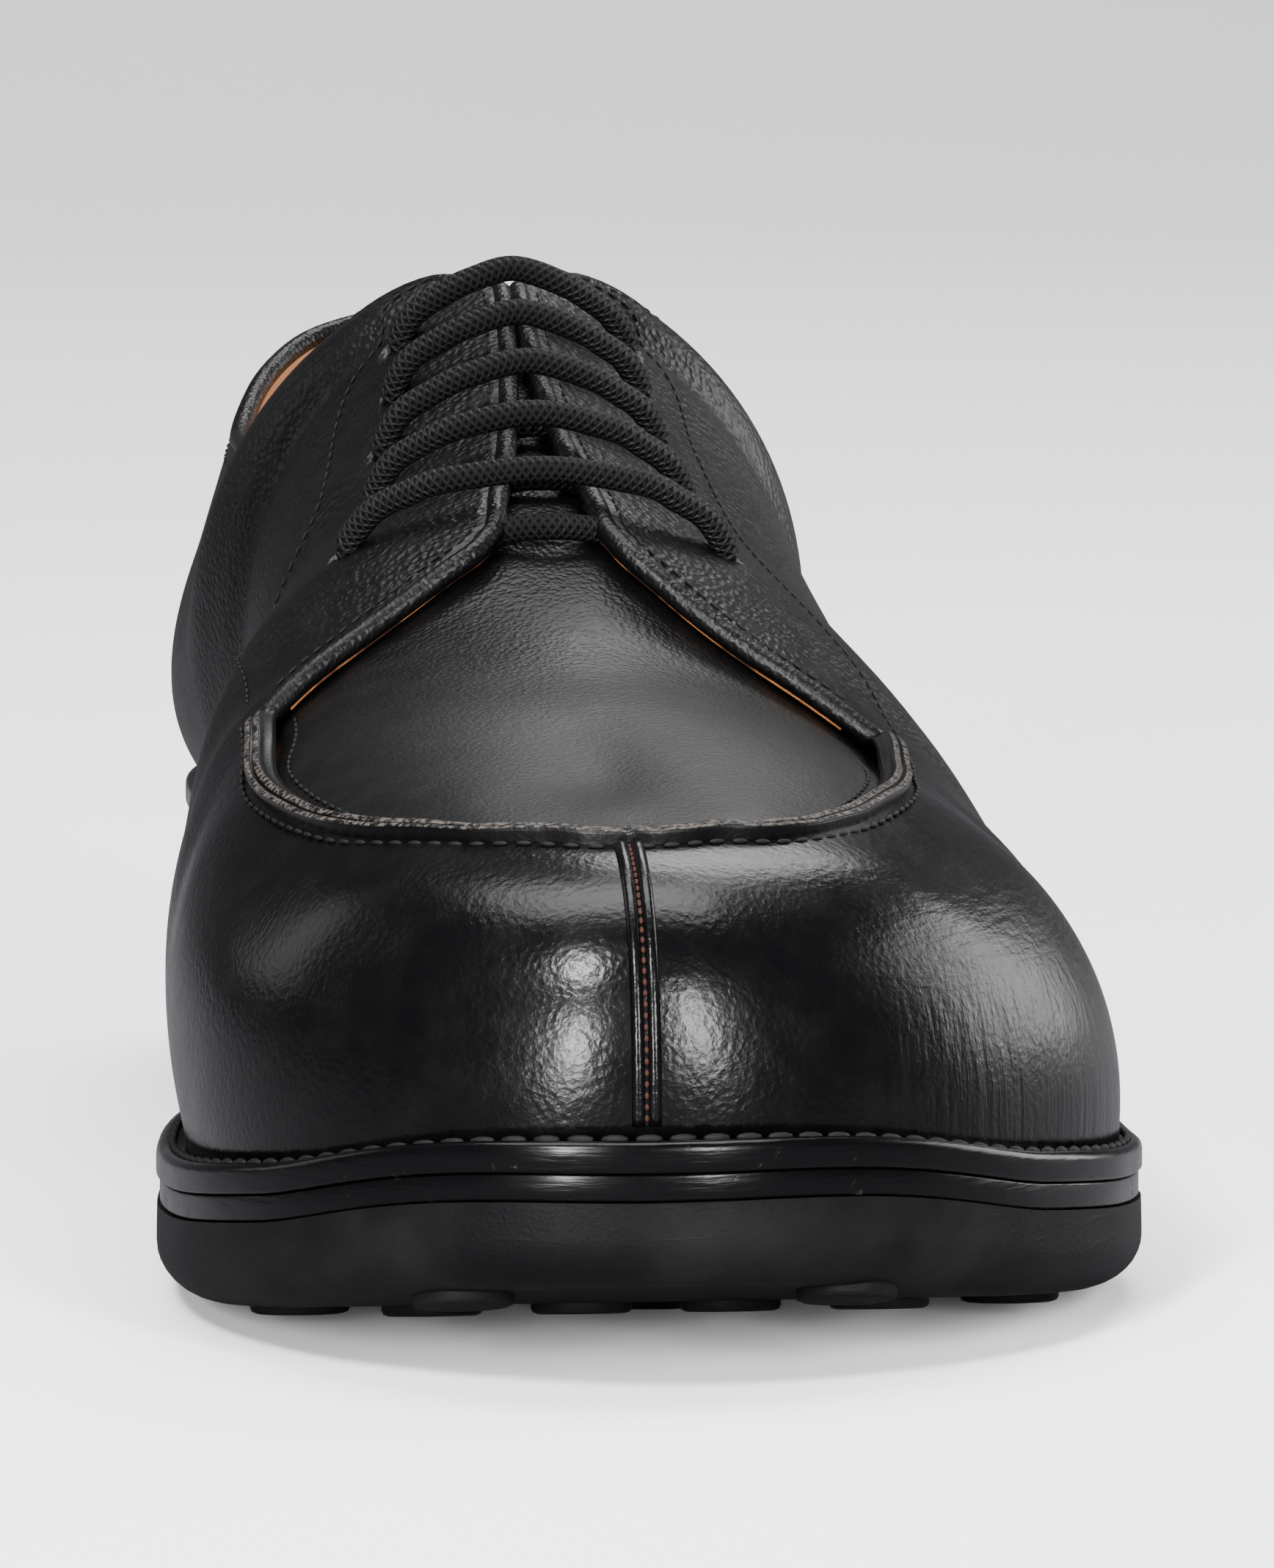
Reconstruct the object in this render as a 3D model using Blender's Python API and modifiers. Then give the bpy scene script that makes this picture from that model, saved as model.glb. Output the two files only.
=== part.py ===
"""Split toe derby, left shoe: five-eyelet open lacing, raised apron seam, welted studded rubber sole.

Metres, +Z up. The toe points to -Y, the medial side is -X and the floor is z = 0.
The last is worked out from its length, ball width, toe spring and heel height:
a foot line round the welt, a top line along the spine, throat and collar, and a
bulged curve between them at every station. Station 0 is the toe, station 1 the heel back.
"""

import bisect
import math

import bmesh
import bpy
from mathutils import Matrix, Vector

MM = 0.001

# Driving sizes
LENGTH = 0.302
BALL_WIDTH = 0.1105
STUD_HEIGHT = 0.0012
RUBBER = 0.0094
SOLE_ROUNDING = 0.0030
MIDSOLE = 0.0030
WELT = 0.0034
INSOLE_PROUD = 0.0012
HEEL_LENGTH = 0.074
HEEL_TAPER = 0.0016
TOP_PIECE = 0.0065
WALL = 0.0022
APRON_WALL = 0.0018
TONGUE_WALL = 0.0020
GAP = 0.0003
LACE_RADIUS = 0.00135
EYELET_RADIUS = 0.0021
LIP_RADIUS = 0.0017
TOE_SEAM_HALF = 0.0011
TOE_SEAM_BEAD = 0.0010
TOE_SEAM_SINK = 0.0005
STUD_RADIUS = 0.0055
STUD_PITCH_ALONG = 0.0172
STUD_PITCH_ACROSS = 0.0200
STUD_EDGE = 0.0130

MEDIAL = -1
LATERAL = 1

# Stations of the pattern's corners
APRON_CORNER = 0.385
NOTCH = 0.435
THROAT_TOP = 0.60
TONGUE_FRONT = 0.456

# Sole outline, shares of length and of ball width, measured from the line heel centre to toe seam
OUTLINE = (
    # along, medial, lateral
    (0.00, 0.318, 0.322),
    (0.13, 0.318, 0.322),
    (0.26, 0.290, 0.328),
    (0.36, 0.248, 0.352),
    (0.46, 0.252, 0.408),
    (0.58, 0.330, 0.497),
    (0.66, 0.404, 0.548),
    (0.71, 0.428, 0.566),
    (0.76, 0.438, 0.566),
    (0.83, 0.440, 0.545),
    (0.91, 0.434, 0.505),
    (1.00, 0.425, 0.465),
)
TOE_ROUND_FROM = 0.745
TOE_ROUND_POWER = 2.35
HEEL_ROUND_TO = 0.135
HEEL_ROUND_POWER = 2.3

# Height of the tread surface above the stud tips, in mm
RISE = (
    # along, rise
    (0.00, 21.0),
    (0.12, 20.2),
    (0.25, 18.4),
    (0.34, 14.6),
    (0.44, 8.2),
    (0.53, 2.8),
    (0.60, 0.0),
    (0.73, 0.0),
    (0.80, 1.0),
    (0.90, 4.8),
    (1.00, 11.0),
)

# How far the upper's foot stands inside the sole edge, in mm
MARGIN = (
    # station, medial, lateral
    (0.00, 5.4, 5.4),
    (0.25, 3.6, 2.8),
    (0.36, 3.4, 2.6),
    (0.50, 2.4, 3.0),
    (0.65, 2.2, 3.4),
    (0.80, 2.8, 2.8),
    (1.00, 3.0, 3.0),
)

# Top line of the last: spine to the notch, throat edge to the top eyelet, then the collar, in mm
TOP_LINE = (
    # station, along from heel, half width, height above floor
    (0.00, 262.0, 0.0, 57.6),
    (0.12, 257.0, 0.0, 58.6),
    (0.22, 246.0, 0.0, 61.2),
    (0.30, 231.0, 0.0, 65.0),
    (0.36, 215.0, 0.4, 69.8),
    (0.40, 200.0, 3.0, 75.2),
    (0.435, 187.0, 6.4, 82.0),
    (0.50, 162.0, 3.2, 92.0),
    (0.56, 142.0, 1.4, 101.5),
    (0.60, 129.0, 1.0, 107.2),
    (0.625, 122.5, 7.5, 108.0),
    (0.655, 114.0, 17.5, 103.2),
    (0.70, 99.0, 25.5, 92.0),
    (0.76, 76.0, 29.5, 83.6),
    (0.82, 54.0, 29.5, 82.0),
    (0.88, 35.0, 26.0, 85.4),
    (0.94, 20.0, 17.0, 90.6),
    (1.00, 13.0, 0.0, 93.2),
)

# Section between foot and top, as shares of the straight line between them: the lower bulge along
# and out from that line, then how far the upper bulge reaches out level and how far it drops
SECTION = (
    # station, low along, low out medial, low out lateral, reach medial, reach lateral, drop medial, drop lateral
    (0.00, 0.30, 0.37, 0.37, 0.56, 0.56, 0.00, 0.00),
    (0.15, 0.30, 0.38, 0.39, 0.56, 0.50, 0.00, 0.00),
    (0.26, 0.27, 0.40, 0.41, 0.57, 0.34, 0.00, 0.00),
    (0.36, 0.26, 0.37, 0.36, 0.62, 0.29, 0.00, 0.02),
    (0.43, 0.27, 0.34, 0.33, 0.56, 0.34, 0.06, 0.09),
    (0.50, 0.28, 0.30, 0.30, 0.46, 0.37, 0.12, 0.14),
    (0.60, 0.28, 0.23, 0.26, 0.42, 0.38, 0.13, 0.14),
    (0.70, 0.28, 0.20, 0.20, 0.20, 0.19, 0.25, 0.25),
    (0.80, 0.28, 0.18, 0.17, 0.10, 0.10, 0.28, 0.28),
    (1.00, 0.30, 0.18, 0.18, 0.07, 0.07, 0.25, 0.25),
)

# Where the apron seam runs up the section, as a share from foot to spine
SEAM = (
    # station, medial, lateral
    (0.00, 0.800, 0.800),
    (0.08, 0.770, 0.765),
    (0.16, 0.690, 0.675),
    (0.24, 0.605, 0.600),
    (0.32, 0.585, 0.560),
    (0.385, 0.620, 0.545),
)

# Lace rows from the notch up: station, distance of each eyelet from the throat edge and lift off it, in mm
LACE_ROWS = (
    # station, medial reach, lateral reach, lift
    (0.454, 18.5, 17.0, 0.48),
    (0.490, 17.2, 16.0, 0.62),
    (0.525, 16.3, 15.2, 0.40),
    (0.558, 15.0, 14.8, 0.32),
    (0.588, 13.5, 14.2, 0.10),
)


def smooth(rows, column, at, odd=False):
    """Value of a table's column at a place, by a monotone cubic; its ends mirror so that closed lines round off."""
    sign = -1 if odd else 1
    places = [row[0] for row in rows]
    values = [row[column] for row in rows]
    places = [2 * places[0] - places[1]] + places + [2 * places[-1] - places[-2]]
    values = [sign * values[1]] + values + [sign * values[-2]]
    at = min(max(at, places[1]), places[-2])
    i = min(max(bisect.bisect_right(places, at) - 1, 1), len(places) - 3)

    def slope(k):
        before = (values[k] - values[k - 1]) / (places[k] - places[k - 1])
        after = (values[k + 1] - values[k]) / (places[k + 1] - places[k])
        return 0.0 if before * after <= 0 else 2 * before * after / (before + after)

    width = places[i + 1] - places[i]
    t = (at - places[i]) / width
    start = (1 + 2 * t) * (1 - t) ** 2 * values[i] + t * (1 - t) ** 2 * width * slope(i)
    end = t * t * (3 - 2 * t) * values[i + 1] + t * t * (t - 1) * width * slope(i + 1)
    return start + end


def half_width(along, side):
    """Half width of the sole at a share of its length, with both ends rounded off."""
    column = 1 if side == MEDIAL else 2
    body = smooth(OUTLINE, column, along) * BALL_WIDTH
    toe = max(0.0, (along - TOE_ROUND_FROM) / (1 - TOE_ROUND_FROM))
    heel = max(0.0, (HEEL_ROUND_TO - along) / HEEL_ROUND_TO)
    return body * math.sqrt(max(0.0, 1 - toe**TOE_ROUND_POWER)) * math.sqrt(max(0.0, 1 - heel**HEEL_ROUND_POWER))


def widest(side):
    return max(half_width(i / 400, side) for i in range(401))


AXIS_X = (widest(MEDIAL) - widest(LATERAL)) / 2


def along_of(station):
    """Share of the length, from the heel, where a station meets the sole edge."""
    return (1 + math.cos(math.pi * station)) / 2


def edge(station, side, inset=0.0):
    """Plan point of the sole edge, moved inwards by inset."""

    def plain(at):
        along = along_of(at)
        return Vector((AXIS_X + side * half_width(along, side), LENGTH / 2 - along * LENGTH, 0))

    if station <= 0:
        return Vector((AXIS_X, -LENGTH / 2 + inset, 0))
    if station >= 1:
        return Vector((AXIS_X, LENGTH / 2 - inset, 0))
    return plain(station) - outward(station, side) * inset


def outward(station, side):
    """Plan normal of the sole edge, pointing out."""
    if station <= 0:
        return Vector((0, -1, 0))
    if station >= 1:
        return Vector((0, 1, 0))
    step = 0.002
    here, there = max(station - step, 1e-5), min(station + step, 1 - 1e-5)
    a, b = along_of(here), along_of(there)
    run = Vector((side * (half_width(b, side) - half_width(a, side)), (a - b) * LENGTH, 0))
    return Vector((side * run.y, -side * run.x, 0)).normalized()


def tread_height(y):
    """Height of the rubber's underside, between the studs."""
    return STUD_HEIGHT + smooth(RISE, 1, (LENGTH / 2 - y) / LENGTH) * MM


def on_sole(plan, lift):
    """A plan point, lifted above the rubber's underside."""
    return Vector((plan.x, plan.y, tread_height(plan.y) + lift))


def margin(station, side):
    return smooth(MARGIN, 1 if side == MEDIAL else 2, station) * MM


def foot_point(station, side):
    return on_sole(edge(station, side, margin(station, side)), RUBBER + MIDSOLE + WELT + GAP)


def top_point(station, side):
    along, half, height = (smooth(TOP_LINE, k, station, odd=k == 2) * MM for k in (1, 2, 3))
    return Vector((AXIS_X + side * half, LENGTH / 2 - along, height))


def section_point(station, side, share):
    """Point of the last's surface: share 0 at the foot, 1 at the top line."""
    low, high = foot_point(station, side), top_point(station, side)
    chord = high - low
    line = chord.normalized()
    normal = outward(station, side)
    bulge = (normal - line * normal.dot(line)).normalized() * chord.length
    columns = (1, 2, 4, 6) if side == MEDIAL else (1, 3, 5, 7)
    low_along, low_out, reach, drop = (smooth(SECTION, k, station) for k in columns)
    p1 = low + chord * low_along + bulge * low_out
    p2 = high + (normal * reach - Vector((0, 0, drop))) * chord.length
    rest = 1 - share
    return low * rest**3 + p1 * (3 * rest * rest * share) + p2 * (3 * rest * share * share) + high * share**3


def surface_normal(station, side, share):
    """Outward normal of the last's surface; read a little off the spine, where the section ends."""
    step = 0.004
    share = min(share, 0.94) if station < NOTCH else share
    a0, a1 = max(station - step, 0.0), min(station + step, 1.0)
    v0, v1 = max(share - 0.01, 0.0), min(share + 0.01, 1.0)
    across = section_point(a1, side, share) - section_point(a0, side, share)
    if a0 <= 0 or a1 >= 1:
        across.z = 0
        across.y = 0
    up = section_point(station, side, v1) - section_point(station, side, v0)
    return up.cross(across).normalized() * -side


def seam_share(station, side):
    return smooth(SEAM, 1 if side == MEDIAL else 2, min(station, APRON_CORNER))


def panel_top(station, side):
    """Share where the side panel ends: apron seam, then the facing's front edge, then the throat and collar."""
    if station <= APRON_CORNER:
        return seam_share(station, side)
    if station >= NOTCH:
        return 1.0
    t = (station - APRON_CORNER) / (NOTCH - APRON_CORNER)
    corner = seam_share(APRON_CORNER, side)
    return corner + (1 - corner) * (t + 0.12 * math.sin(math.pi * t))


def link(name, mesh, material):
    """Adds a mesh as a named sub-part."""
    piece = bpy.data.objects.new(name, mesh)
    parts.objects.link(piece)
    piece.data.materials.clear()
    piece.data.materials.append(material)
    piece.data.shade_smooth()
    piece.data.set_sharp_from_angle(angle=math.radians(35))
    return piece


def finish_material(name, colour, roughness, metallic=0.0):
    material = bpy.data.materials.new(name)
    material.use_nodes = True
    shader = material.node_tree.nodes["Principled BSDF"]
    shader.inputs["Base Color"].default_value = (*colour, 1.0)
    shader.inputs["Roughness"].default_value = roughness
    shader.inputs["Metallic"].default_value = metallic
    return material


def mesh_from_rings(name, rings, cyclic, caps=()):
    """Skins rings of equal length into a mesh; caps are pairs (ring, count of stations on one side)."""
    made = bmesh.new()
    verts = [[made.verts.new(p) for p in ring] for ring in rings]
    pairs = list(zip(verts, verts[1:])) + ([(verts[-1], verts[0])] if cyclic else [])
    for low, high in pairs:
        for i in range(len(low)):
            j = (i + 1) % len(low)
            made.faces.new((low[i], low[j], high[j], high[i]))
    for ring in caps:
        loop = verts[ring]
        count = len(loop)
        for i in range(count // 2):
            corners = (loop[i], loop[i + 1], loop[(-i - 2) % count], loop[(-i - 1) % count])
            made.faces.new(tuple(dict.fromkeys(corners)))
    bmesh.ops.recalc_face_normals(made, faces=made.faces)
    mesh = bpy.data.meshes.new(name)
    made.to_mesh(mesh)
    made.free()
    return mesh


def ring_stations(first, last, count):
    """Stations of one closed ring: medial side from first to last, then the lateral side back."""
    steps = [first + (last - first) * i / count for i in range(count + 1)]
    medial = [(at, MEDIAL) for at in steps]
    lateral = [(at, LATERAL) for at in reversed(steps)]
    if last >= 1:
        lateral = lateral[1:]
    if first <= 0:
        lateral = lateral[:-1]
    return medial + lateral


def sole_layer(name, levels, material, first=0.0, last=1.0, count=30, hollow=False):
    """A sole layer from rings at (inset, lift) levels; inset may be a function of station and side."""
    stations = ring_stations(first, last, count)

    def point(at, side, inset, lift):
        inwards = inset(at, side) if callable(inset) else inset
        plan = edge(at, side, inwards)
        return Vector((plan.x, plan.y, lift(plan.y) if callable(lift) else on_sole(plan, lift).z))

    rings = [[point(at, side, inset, lift) for at, side in stations] for inset, lift in levels]
    if hollow:
        return link(name, mesh_from_rings(name, rings, cyclic=True), material)
    mesh = cap_rings(name, rings, stations)
    return link(name, mesh, material)


def cap_rings(name, rings, stations):
    """Skins the rings and closes the lowest and highest with strips from side to side."""
    made = bmesh.new()
    verts = [[made.verts.new(p) for p in ring] for ring in rings]
    for low, high in zip(verts, verts[1:]):
        for i in range(len(low)):
            j = (i + 1) % len(low)
            made.faces.new((low[i], low[j], high[j], high[i]))
    place = {key: i for i, key in enumerate(stations)}
    steps = sorted({at for at, _ in stations})
    for loop in (verts[0], verts[-1]):
        for here, there in zip(steps, steps[1:]):
            corners = [
                place[(here, MEDIAL)],
                place[(there, MEDIAL)],
                place.get((there, LATERAL), place[(there, MEDIAL)]),
                place.get((here, LATERAL), place[(here, MEDIAL)]),
            ]
            made.faces.new([loop[k] for k in dict.fromkeys(corners)])
    bmesh.ops.recalc_face_normals(made, faces=made.faces)
    mesh = bpy.data.meshes.new(name)
    made.to_mesh(mesh)
    made.free()
    return mesh


def combine(piece, tools, operation):
    """Applies Boolean joins or cuts one after another, and removes the tools."""
    for tool in tools:
        triangulate(piece.data)
        triangulate(tool.data)
        modifier = piece.modifiers.new(tool.name, "BOOLEAN")
        modifier.operation = operation
        modifier.object = tool
        bpy.context.view_layer.update()
        result = bpy.data.meshes.new_from_object(piece.evaluated_get(bpy.context.evaluated_depsgraph_get()))
        piece.modifiers.clear()
        piece.data = result
        bpy.data.objects.remove(tool)
    return piece


def triangulate(mesh):
    """Splits a mesh's faces into triangles, so that every face is flat."""
    made = bmesh.new()
    made.from_mesh(mesh)
    bmesh.ops.triangulate(made, faces=made.faces)
    made.to_mesh(mesh)
    made.free()


def tool_from(name, mesh):
    """A cutter or joining solid, kept out of the parts."""
    piece = bpy.data.objects.new(name, mesh)
    tools.objects.link(piece)
    piece.hide_render = True
    piece.display_type = "WIRE"
    return piece


def outsole(material):
    """Rubber sole with a rounded lower edge and round studs under the forepart."""
    deep = SOLE_ROUNDING
    levels = ((deep, 0.0), (0.3 * deep, 0.3 * deep), (0.0, deep), (0.0, RUBBER - GAP))
    piece = sole_layer("outsole", levels, material)
    return combine(piece, list(studs()), "UNION")


def studs():
    """Studs in staggered rows, each square to the tread where it stands."""
    first_row, last_row = 0.182, 0.286
    rows = int((last_row - first_row) / STUD_PITCH_ALONG) + 1
    for row in range(rows):
        y = LENGTH / 2 - first_row - row * STUD_PITCH_ALONG
        along = (LENGTH / 2 - y) / LENGTH
        low = AXIS_X - half_width(along, MEDIAL) + STUD_EDGE
        high = AXIS_X + half_width(along, LATERAL) - STUD_EDGE
        count = max(1, int((high - low) / STUD_PITCH_ACROSS) + row % 2)
        for k in range(count):
            x = low + (high - low) * ((k + 0.5) / count if row % 2 else k / max(1, count - 1))
            yield stud(f"stud_{row}_{k}", x, y)


def stud(name, x, y):
    sink = 0.0012
    made = bmesh.new()
    bmesh.ops.create_cone(
        made, cap_ends=True, segments=12, radius1=STUD_RADIUS, radius2=STUD_RADIUS, depth=STUD_HEIGHT + sink
    )
    step = 0.001
    slope = math.atan2(tread_height(y + step) - tread_height(y - step), 2 * step)
    turn = Matrix.Rotation(slope, 4, "X")
    centre = Vector((x, y, tread_height(y))) + turn @ Vector((0, 0, (sink - STUD_HEIGHT) / 2))
    made.transform(Matrix.Translation(centre) @ turn)
    mesh = bpy.data.meshes.new(name)
    made.to_mesh(mesh)
    made.free()
    return tool_from(name, mesh)


def midsole(material):
    inset = 0.0004
    return sole_layer("midsole", ((inset, RUBBER), (inset, RUBBER + MIDSOLE - GAP)), material)


def welt(material):
    """Welt ring: its inner edge stands under the upper's wall."""
    low, high = RUBBER + MIDSOLE, RUBBER + MIDSOLE + WELT
    chamfer = 0.0007

    def inner(at, side):
        return margin(at, side) + WALL

    levels = ((chamfer, low), (0.0, low + chamfer), (0.0, high - chamfer), (chamfer, high), (inner, high), (inner, low))
    return sole_layer("welt", levels, material, hollow=True)


def insole(material):
    low, high = RUBBER + MIDSOLE, RUBBER + MIDSOLE + WELT + INSOLE_PROUD
    clearance = 0.0006

    def rim(at, side):
        return margin(at, side) + WALL + clearance

    return sole_layer("insole", ((rim, low), (rim, high)), material)


def heel_station():
    """Station where the heel breast crosses the sole edge."""
    return math.acos(2 * HEEL_LENGTH / LENGTH - 1) / math.pi


def heel_stack(material):
    first = heel_station()

    def top(y):
        return tread_height(y) - GAP

    return sole_layer(
        "heel_stack",
        ((HEEL_TAPER, lambda y: TOP_PIECE + GAP), (0.0004, top)),
        material,
        first=first,
        count=12,
    )


def heel_top_piece(material):
    first = heel_station()
    chamfer = 0.0006
    levels = (
        (HEEL_TAPER + chamfer, lambda y: 0.0),
        (HEEL_TAPER, lambda y: chamfer),
        (HEEL_TAPER, lambda y: TOP_PIECE),
    )
    return sole_layer("heel_top_piece", levels, material, first=first, count=12)


def panel_stations():
    """Stations of the side panels, closer together along the facing's front edge and the collar's corner."""
    toe = [APRON_CORNER * i / 12 for i in range(12)]
    front = [APRON_CORNER + (NOTCH - APRON_CORNER) * i / 6 for i in range(6)]
    throat = [NOTCH + (THROAT_TOP - NOTCH) * i / 6 for i in range(6)]
    collar = [THROAT_TOP + (0.70 - THROAT_TOP) * i / 6 for i in range(6)]
    heel = [0.70 + 0.30 * i / 9 for i in range(10)]
    return toe + front + throat + collar + heel


def side_panels():
    """Both side panels as one open sheet: sewn together at the toe seam and the back seam."""
    steps = panel_stations()
    stations = [(at, MEDIAL) for at in steps] + [(at, LATERAL) for at in reversed(steps[1:-1])]
    rows = 9
    rings = [
        [section_point(at, side, panel_top(at, side) * row / rows) for at, side in stations] for row in range(rows + 1)
    ]
    return thickened("side_panels", mesh_from_rings("side_panels", rings, cyclic=False), WALL)


def thickened(name, mesh, wall):
    """A sheet whose outer face is the given mesh and whose wall goes inwards."""
    piece = tool_from(name, mesh)
    modifier = piece.modifiers.new("wall", "SOLIDIFY")
    modifier.thickness = wall
    modifier.offset = -1
    modifier.use_even_offset = True
    bpy.context.view_layer.update()
    piece.data = bpy.data.meshes.new_from_object(piece.evaluated_get(bpy.context.evaluated_depsgraph_get()))
    piece.modifiers.clear()
    return piece


def sheet_depth(station):
    """How deep the apron and tongue lie under the last's surface: level at the toe, under the facings behind."""
    shallow, deep = 0.0009, WALL + 0.0009
    t = min(max((station - 0.18) / (APRON_CORNER + 0.01 - 0.18), 0.0), 1.0)
    return shallow + (deep - shallow) * t * t * (3 - 2 * t)


def sheet_across(station, share, rows):
    """One line of points across the last, from the medial side over the spine to the lateral side, sunk in."""
    points = []
    for side in (MEDIAL, LATERAL):
        start = share(side)
        line = []
        for i in range(rows + 1):
            v = start + (1 - start) * i / rows
            line.append(section_point(station, side, v) - surface_normal(station, side, v) * sheet_depth(station))
        points.append(line)
    medial, lateral = points
    if (medial[-1] - lateral[-1]).length < 0.0016:
        middle = (medial[-1] + lateral[-1]) / 2
        return medial[:-1] + [middle] + lateral[-2::-1]
    middle = (medial[-1] + lateral[-1]) / 2 + Vector((0, 0, 0.0004))
    return medial[:-1] + [middle] + lateral[-2::-1]


def apron_sheet():
    """The apron, from its front edge inside the seam to a tail under the facings."""
    steps = [APRON_CORNER * i / 12 for i in range(13)] + [0.40, 0.42, 0.435, TONGUE_FRONT - 0.009]
    tuck = 0.035
    rows = 7
    lines = [sheet_across(at, lambda side: seam_share(at, side) - tuck, rows) for at in steps]
    made = bmesh.new()
    verts = [[made.verts.new(p) for p in line] for line in lines]
    for here, there in zip(verts, verts[1:]):
        for i in range(len(here) - 1):
            made.faces.new((here[i], here[i + 1], there[i + 1], there[i]))
    bmesh.ops.remove_doubles(made, verts=made.verts, dist=0.00005)
    bmesh.ops.recalc_face_normals(made, faces=made.faces)
    highest = max(made.faces, key=lambda f: f.calc_center_median().z)
    if highest.normal.z < 0:
        bmesh.ops.reverse_faces(made, faces=made.faces)
    mesh = bpy.data.meshes.new("apron")
    made.to_mesh(mesh)
    made.free()
    return thickened("apron", mesh, APRON_WALL)


def seam_path(steps):
    """Points along the apron seam from the medial corner round the toe to the lateral corner."""
    stations = [(at, MEDIAL) for at in reversed(steps)] + [(at, LATERAL) for at in steps[1:]]
    return [
        section_point(at, side, seam_share(at, side)) + surface_normal(at, side, seam_share(at, side)) * 0.0003
        for at, side in stations
    ]


def tube(name, points, radius, sides=2):
    """A capped round bead or cord along the points, as a closed mesh."""
    curve = bpy.data.curves.new(name, "CURVE")
    curve.dimensions = "3D"
    curve.bevel_depth = radius
    curve.bevel_resolution = sides
    curve.use_fill_caps = True
    spline = curve.splines.new("POLY")
    spline.points.add(len(points) - 1)
    for target, point in zip(spline.points, points):
        target.co = (*point, 1.0)
    holder = bpy.data.objects.new(name, curve)
    tools.objects.link(holder)
    bpy.context.view_layer.update()
    mesh = bpy.data.meshes.new_from_object(holder.evaluated_get(bpy.context.evaluated_depsgraph_get()))
    bpy.data.objects.remove(holder)
    made = bmesh.new()
    made.from_mesh(mesh)
    bmesh.ops.remove_doubles(made, verts=made.verts, dist=0.00001)
    bmesh.ops.recalc_face_normals(made, faces=made.faces)
    made.to_mesh(mesh)
    made.free()
    return mesh


def upper(material):
    """One hollow body: side panels, apron, the raised apron seam and the split toe seam."""
    panels = side_panels()
    apron = apron_sheet()
    steps = [APRON_CORNER * i / 14 for i in range(15)]
    lip = tool_from("apron_seam", tube("apron_seam", seam_path(steps), LIP_RADIUS))
    rise = [seam_share(0, MEDIAL) * (0.03 + 0.95 * i / 9) for i in range(10)]
    beads = []
    for side in (MEDIAL, LATERAL):
        line = [section_point(0, side, v) + Vector((side * TOE_SEAM_HALF, TOE_SEAM_SINK, 0)) for v in rise]
        beads.append(tool_from(f"toe_seam_{side}", tube("toe_seam", line, TOE_SEAM_BEAD)))
    piece = link("upper", panels.data.copy(), material)
    bpy.data.objects.remove(panels)
    combine(piece, list(eyelet_cutters()), "DIFFERENCE")
    return combine(piece, [apron, lip] + beads, "UNION")


def share_at_reach(station, side, reach):
    """Share of the section at a distance down from the throat edge."""
    share, length = 1.0, 0.0
    here = section_point(station, side, share)
    while length < reach and share > 0.1:
        share -= 0.005
        there = section_point(station, side, share)
        length += (there - here).length
        here = there
    return share


def eyelet(row, side):
    """Centre and outward direction of one lace hole."""
    station, medial, lateral, _ = row
    share = share_at_reach(station, side, (medial if side == MEDIAL else lateral) * MM)
    return section_point(station, side, share), surface_normal(station, side, share)


def eyelet_cutters():
    for k, row in enumerate(LACE_ROWS):
        for side in (MEDIAL, LATERAL):
            centre, direction = eyelet(row, side)
            made = bmesh.new()
            bmesh.ops.create_cone(
                made, cap_ends=True, segments=10, radius1=EYELET_RADIUS, radius2=EYELET_RADIUS, depth=4.4 * MM
            )
            turn = Vector((0, 0, 1)).rotation_difference(direction).to_matrix().to_4x4()
            made.transform(Matrix.Translation(centre - direction * WALL / 2) @ turn)
            mesh = bpy.data.meshes.new("eyelet")
            made.to_mesh(mesh)
            made.free()
            yield tool_from(f"eyelet_{k}_{side}", mesh)


def tongue(material):
    """Tongue under the facings, behind the apron's tail, up to the top lace row."""
    first, last, count = TONGUE_FRONT, 0.592, 9
    rows = 6

    def start(at, side):
        return share_at_reach(at, side, 0.021)

    lines = []
    for i in range(count + 1):
        at = first + (last - first) * i / count
        lines.append(sheet_across(at, lambda side: start(at, side), rows))
    made = bmesh.new()
    verts = [[made.verts.new(p) for p in line] for line in lines]
    for here, there in zip(verts, verts[1:]):
        for i in range(len(here) - 1):
            made.faces.new((here[i], here[i + 1], there[i + 1], there[i]))
    bmesh.ops.recalc_face_normals(made, faces=made.faces)
    if sum(f.normal.z for f in made.faces) < 0:
        bmesh.ops.reverse_faces(made, faces=made.faces)
    mesh = bpy.data.meshes.new("tongue")
    made.to_mesh(mesh)
    made.free()
    sheet = thickened("tongue_sheet", mesh, TONGUE_WALL)
    piece = link("tongue", sheet.data.copy(), material)
    bpy.data.objects.remove(sheet)
    return piece


def lace_row(number, row, material):
    """One lace bar, arched over the facings from eyelet to eyelet."""
    station, medial, lateral, clear = row
    lift = LACE_RADIUS + clear * MM
    ends = []
    for side, reach in ((MEDIAL, medial), (LATERAL, lateral)):
        shares = [share_at_reach(station, side, reach * MM * part) for part in (1.0, 0.8, 0.6, 0.4, 0.2)]
        ends.append([section_point(station, side, v) + surface_normal(station, side, v) * lift for v in shares])
    crest = (top_point(station, MEDIAL) + top_point(station, LATERAL)) / 2 + Vector((0, -0.0006, lift + 0.0004))
    route = ends[0] + [crest] + ends[1][::-1]
    return link(f"lace_row_{number}", tube(f"lace_row_{number}", spline_through(route, 2), LACE_RADIUS), material)


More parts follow.
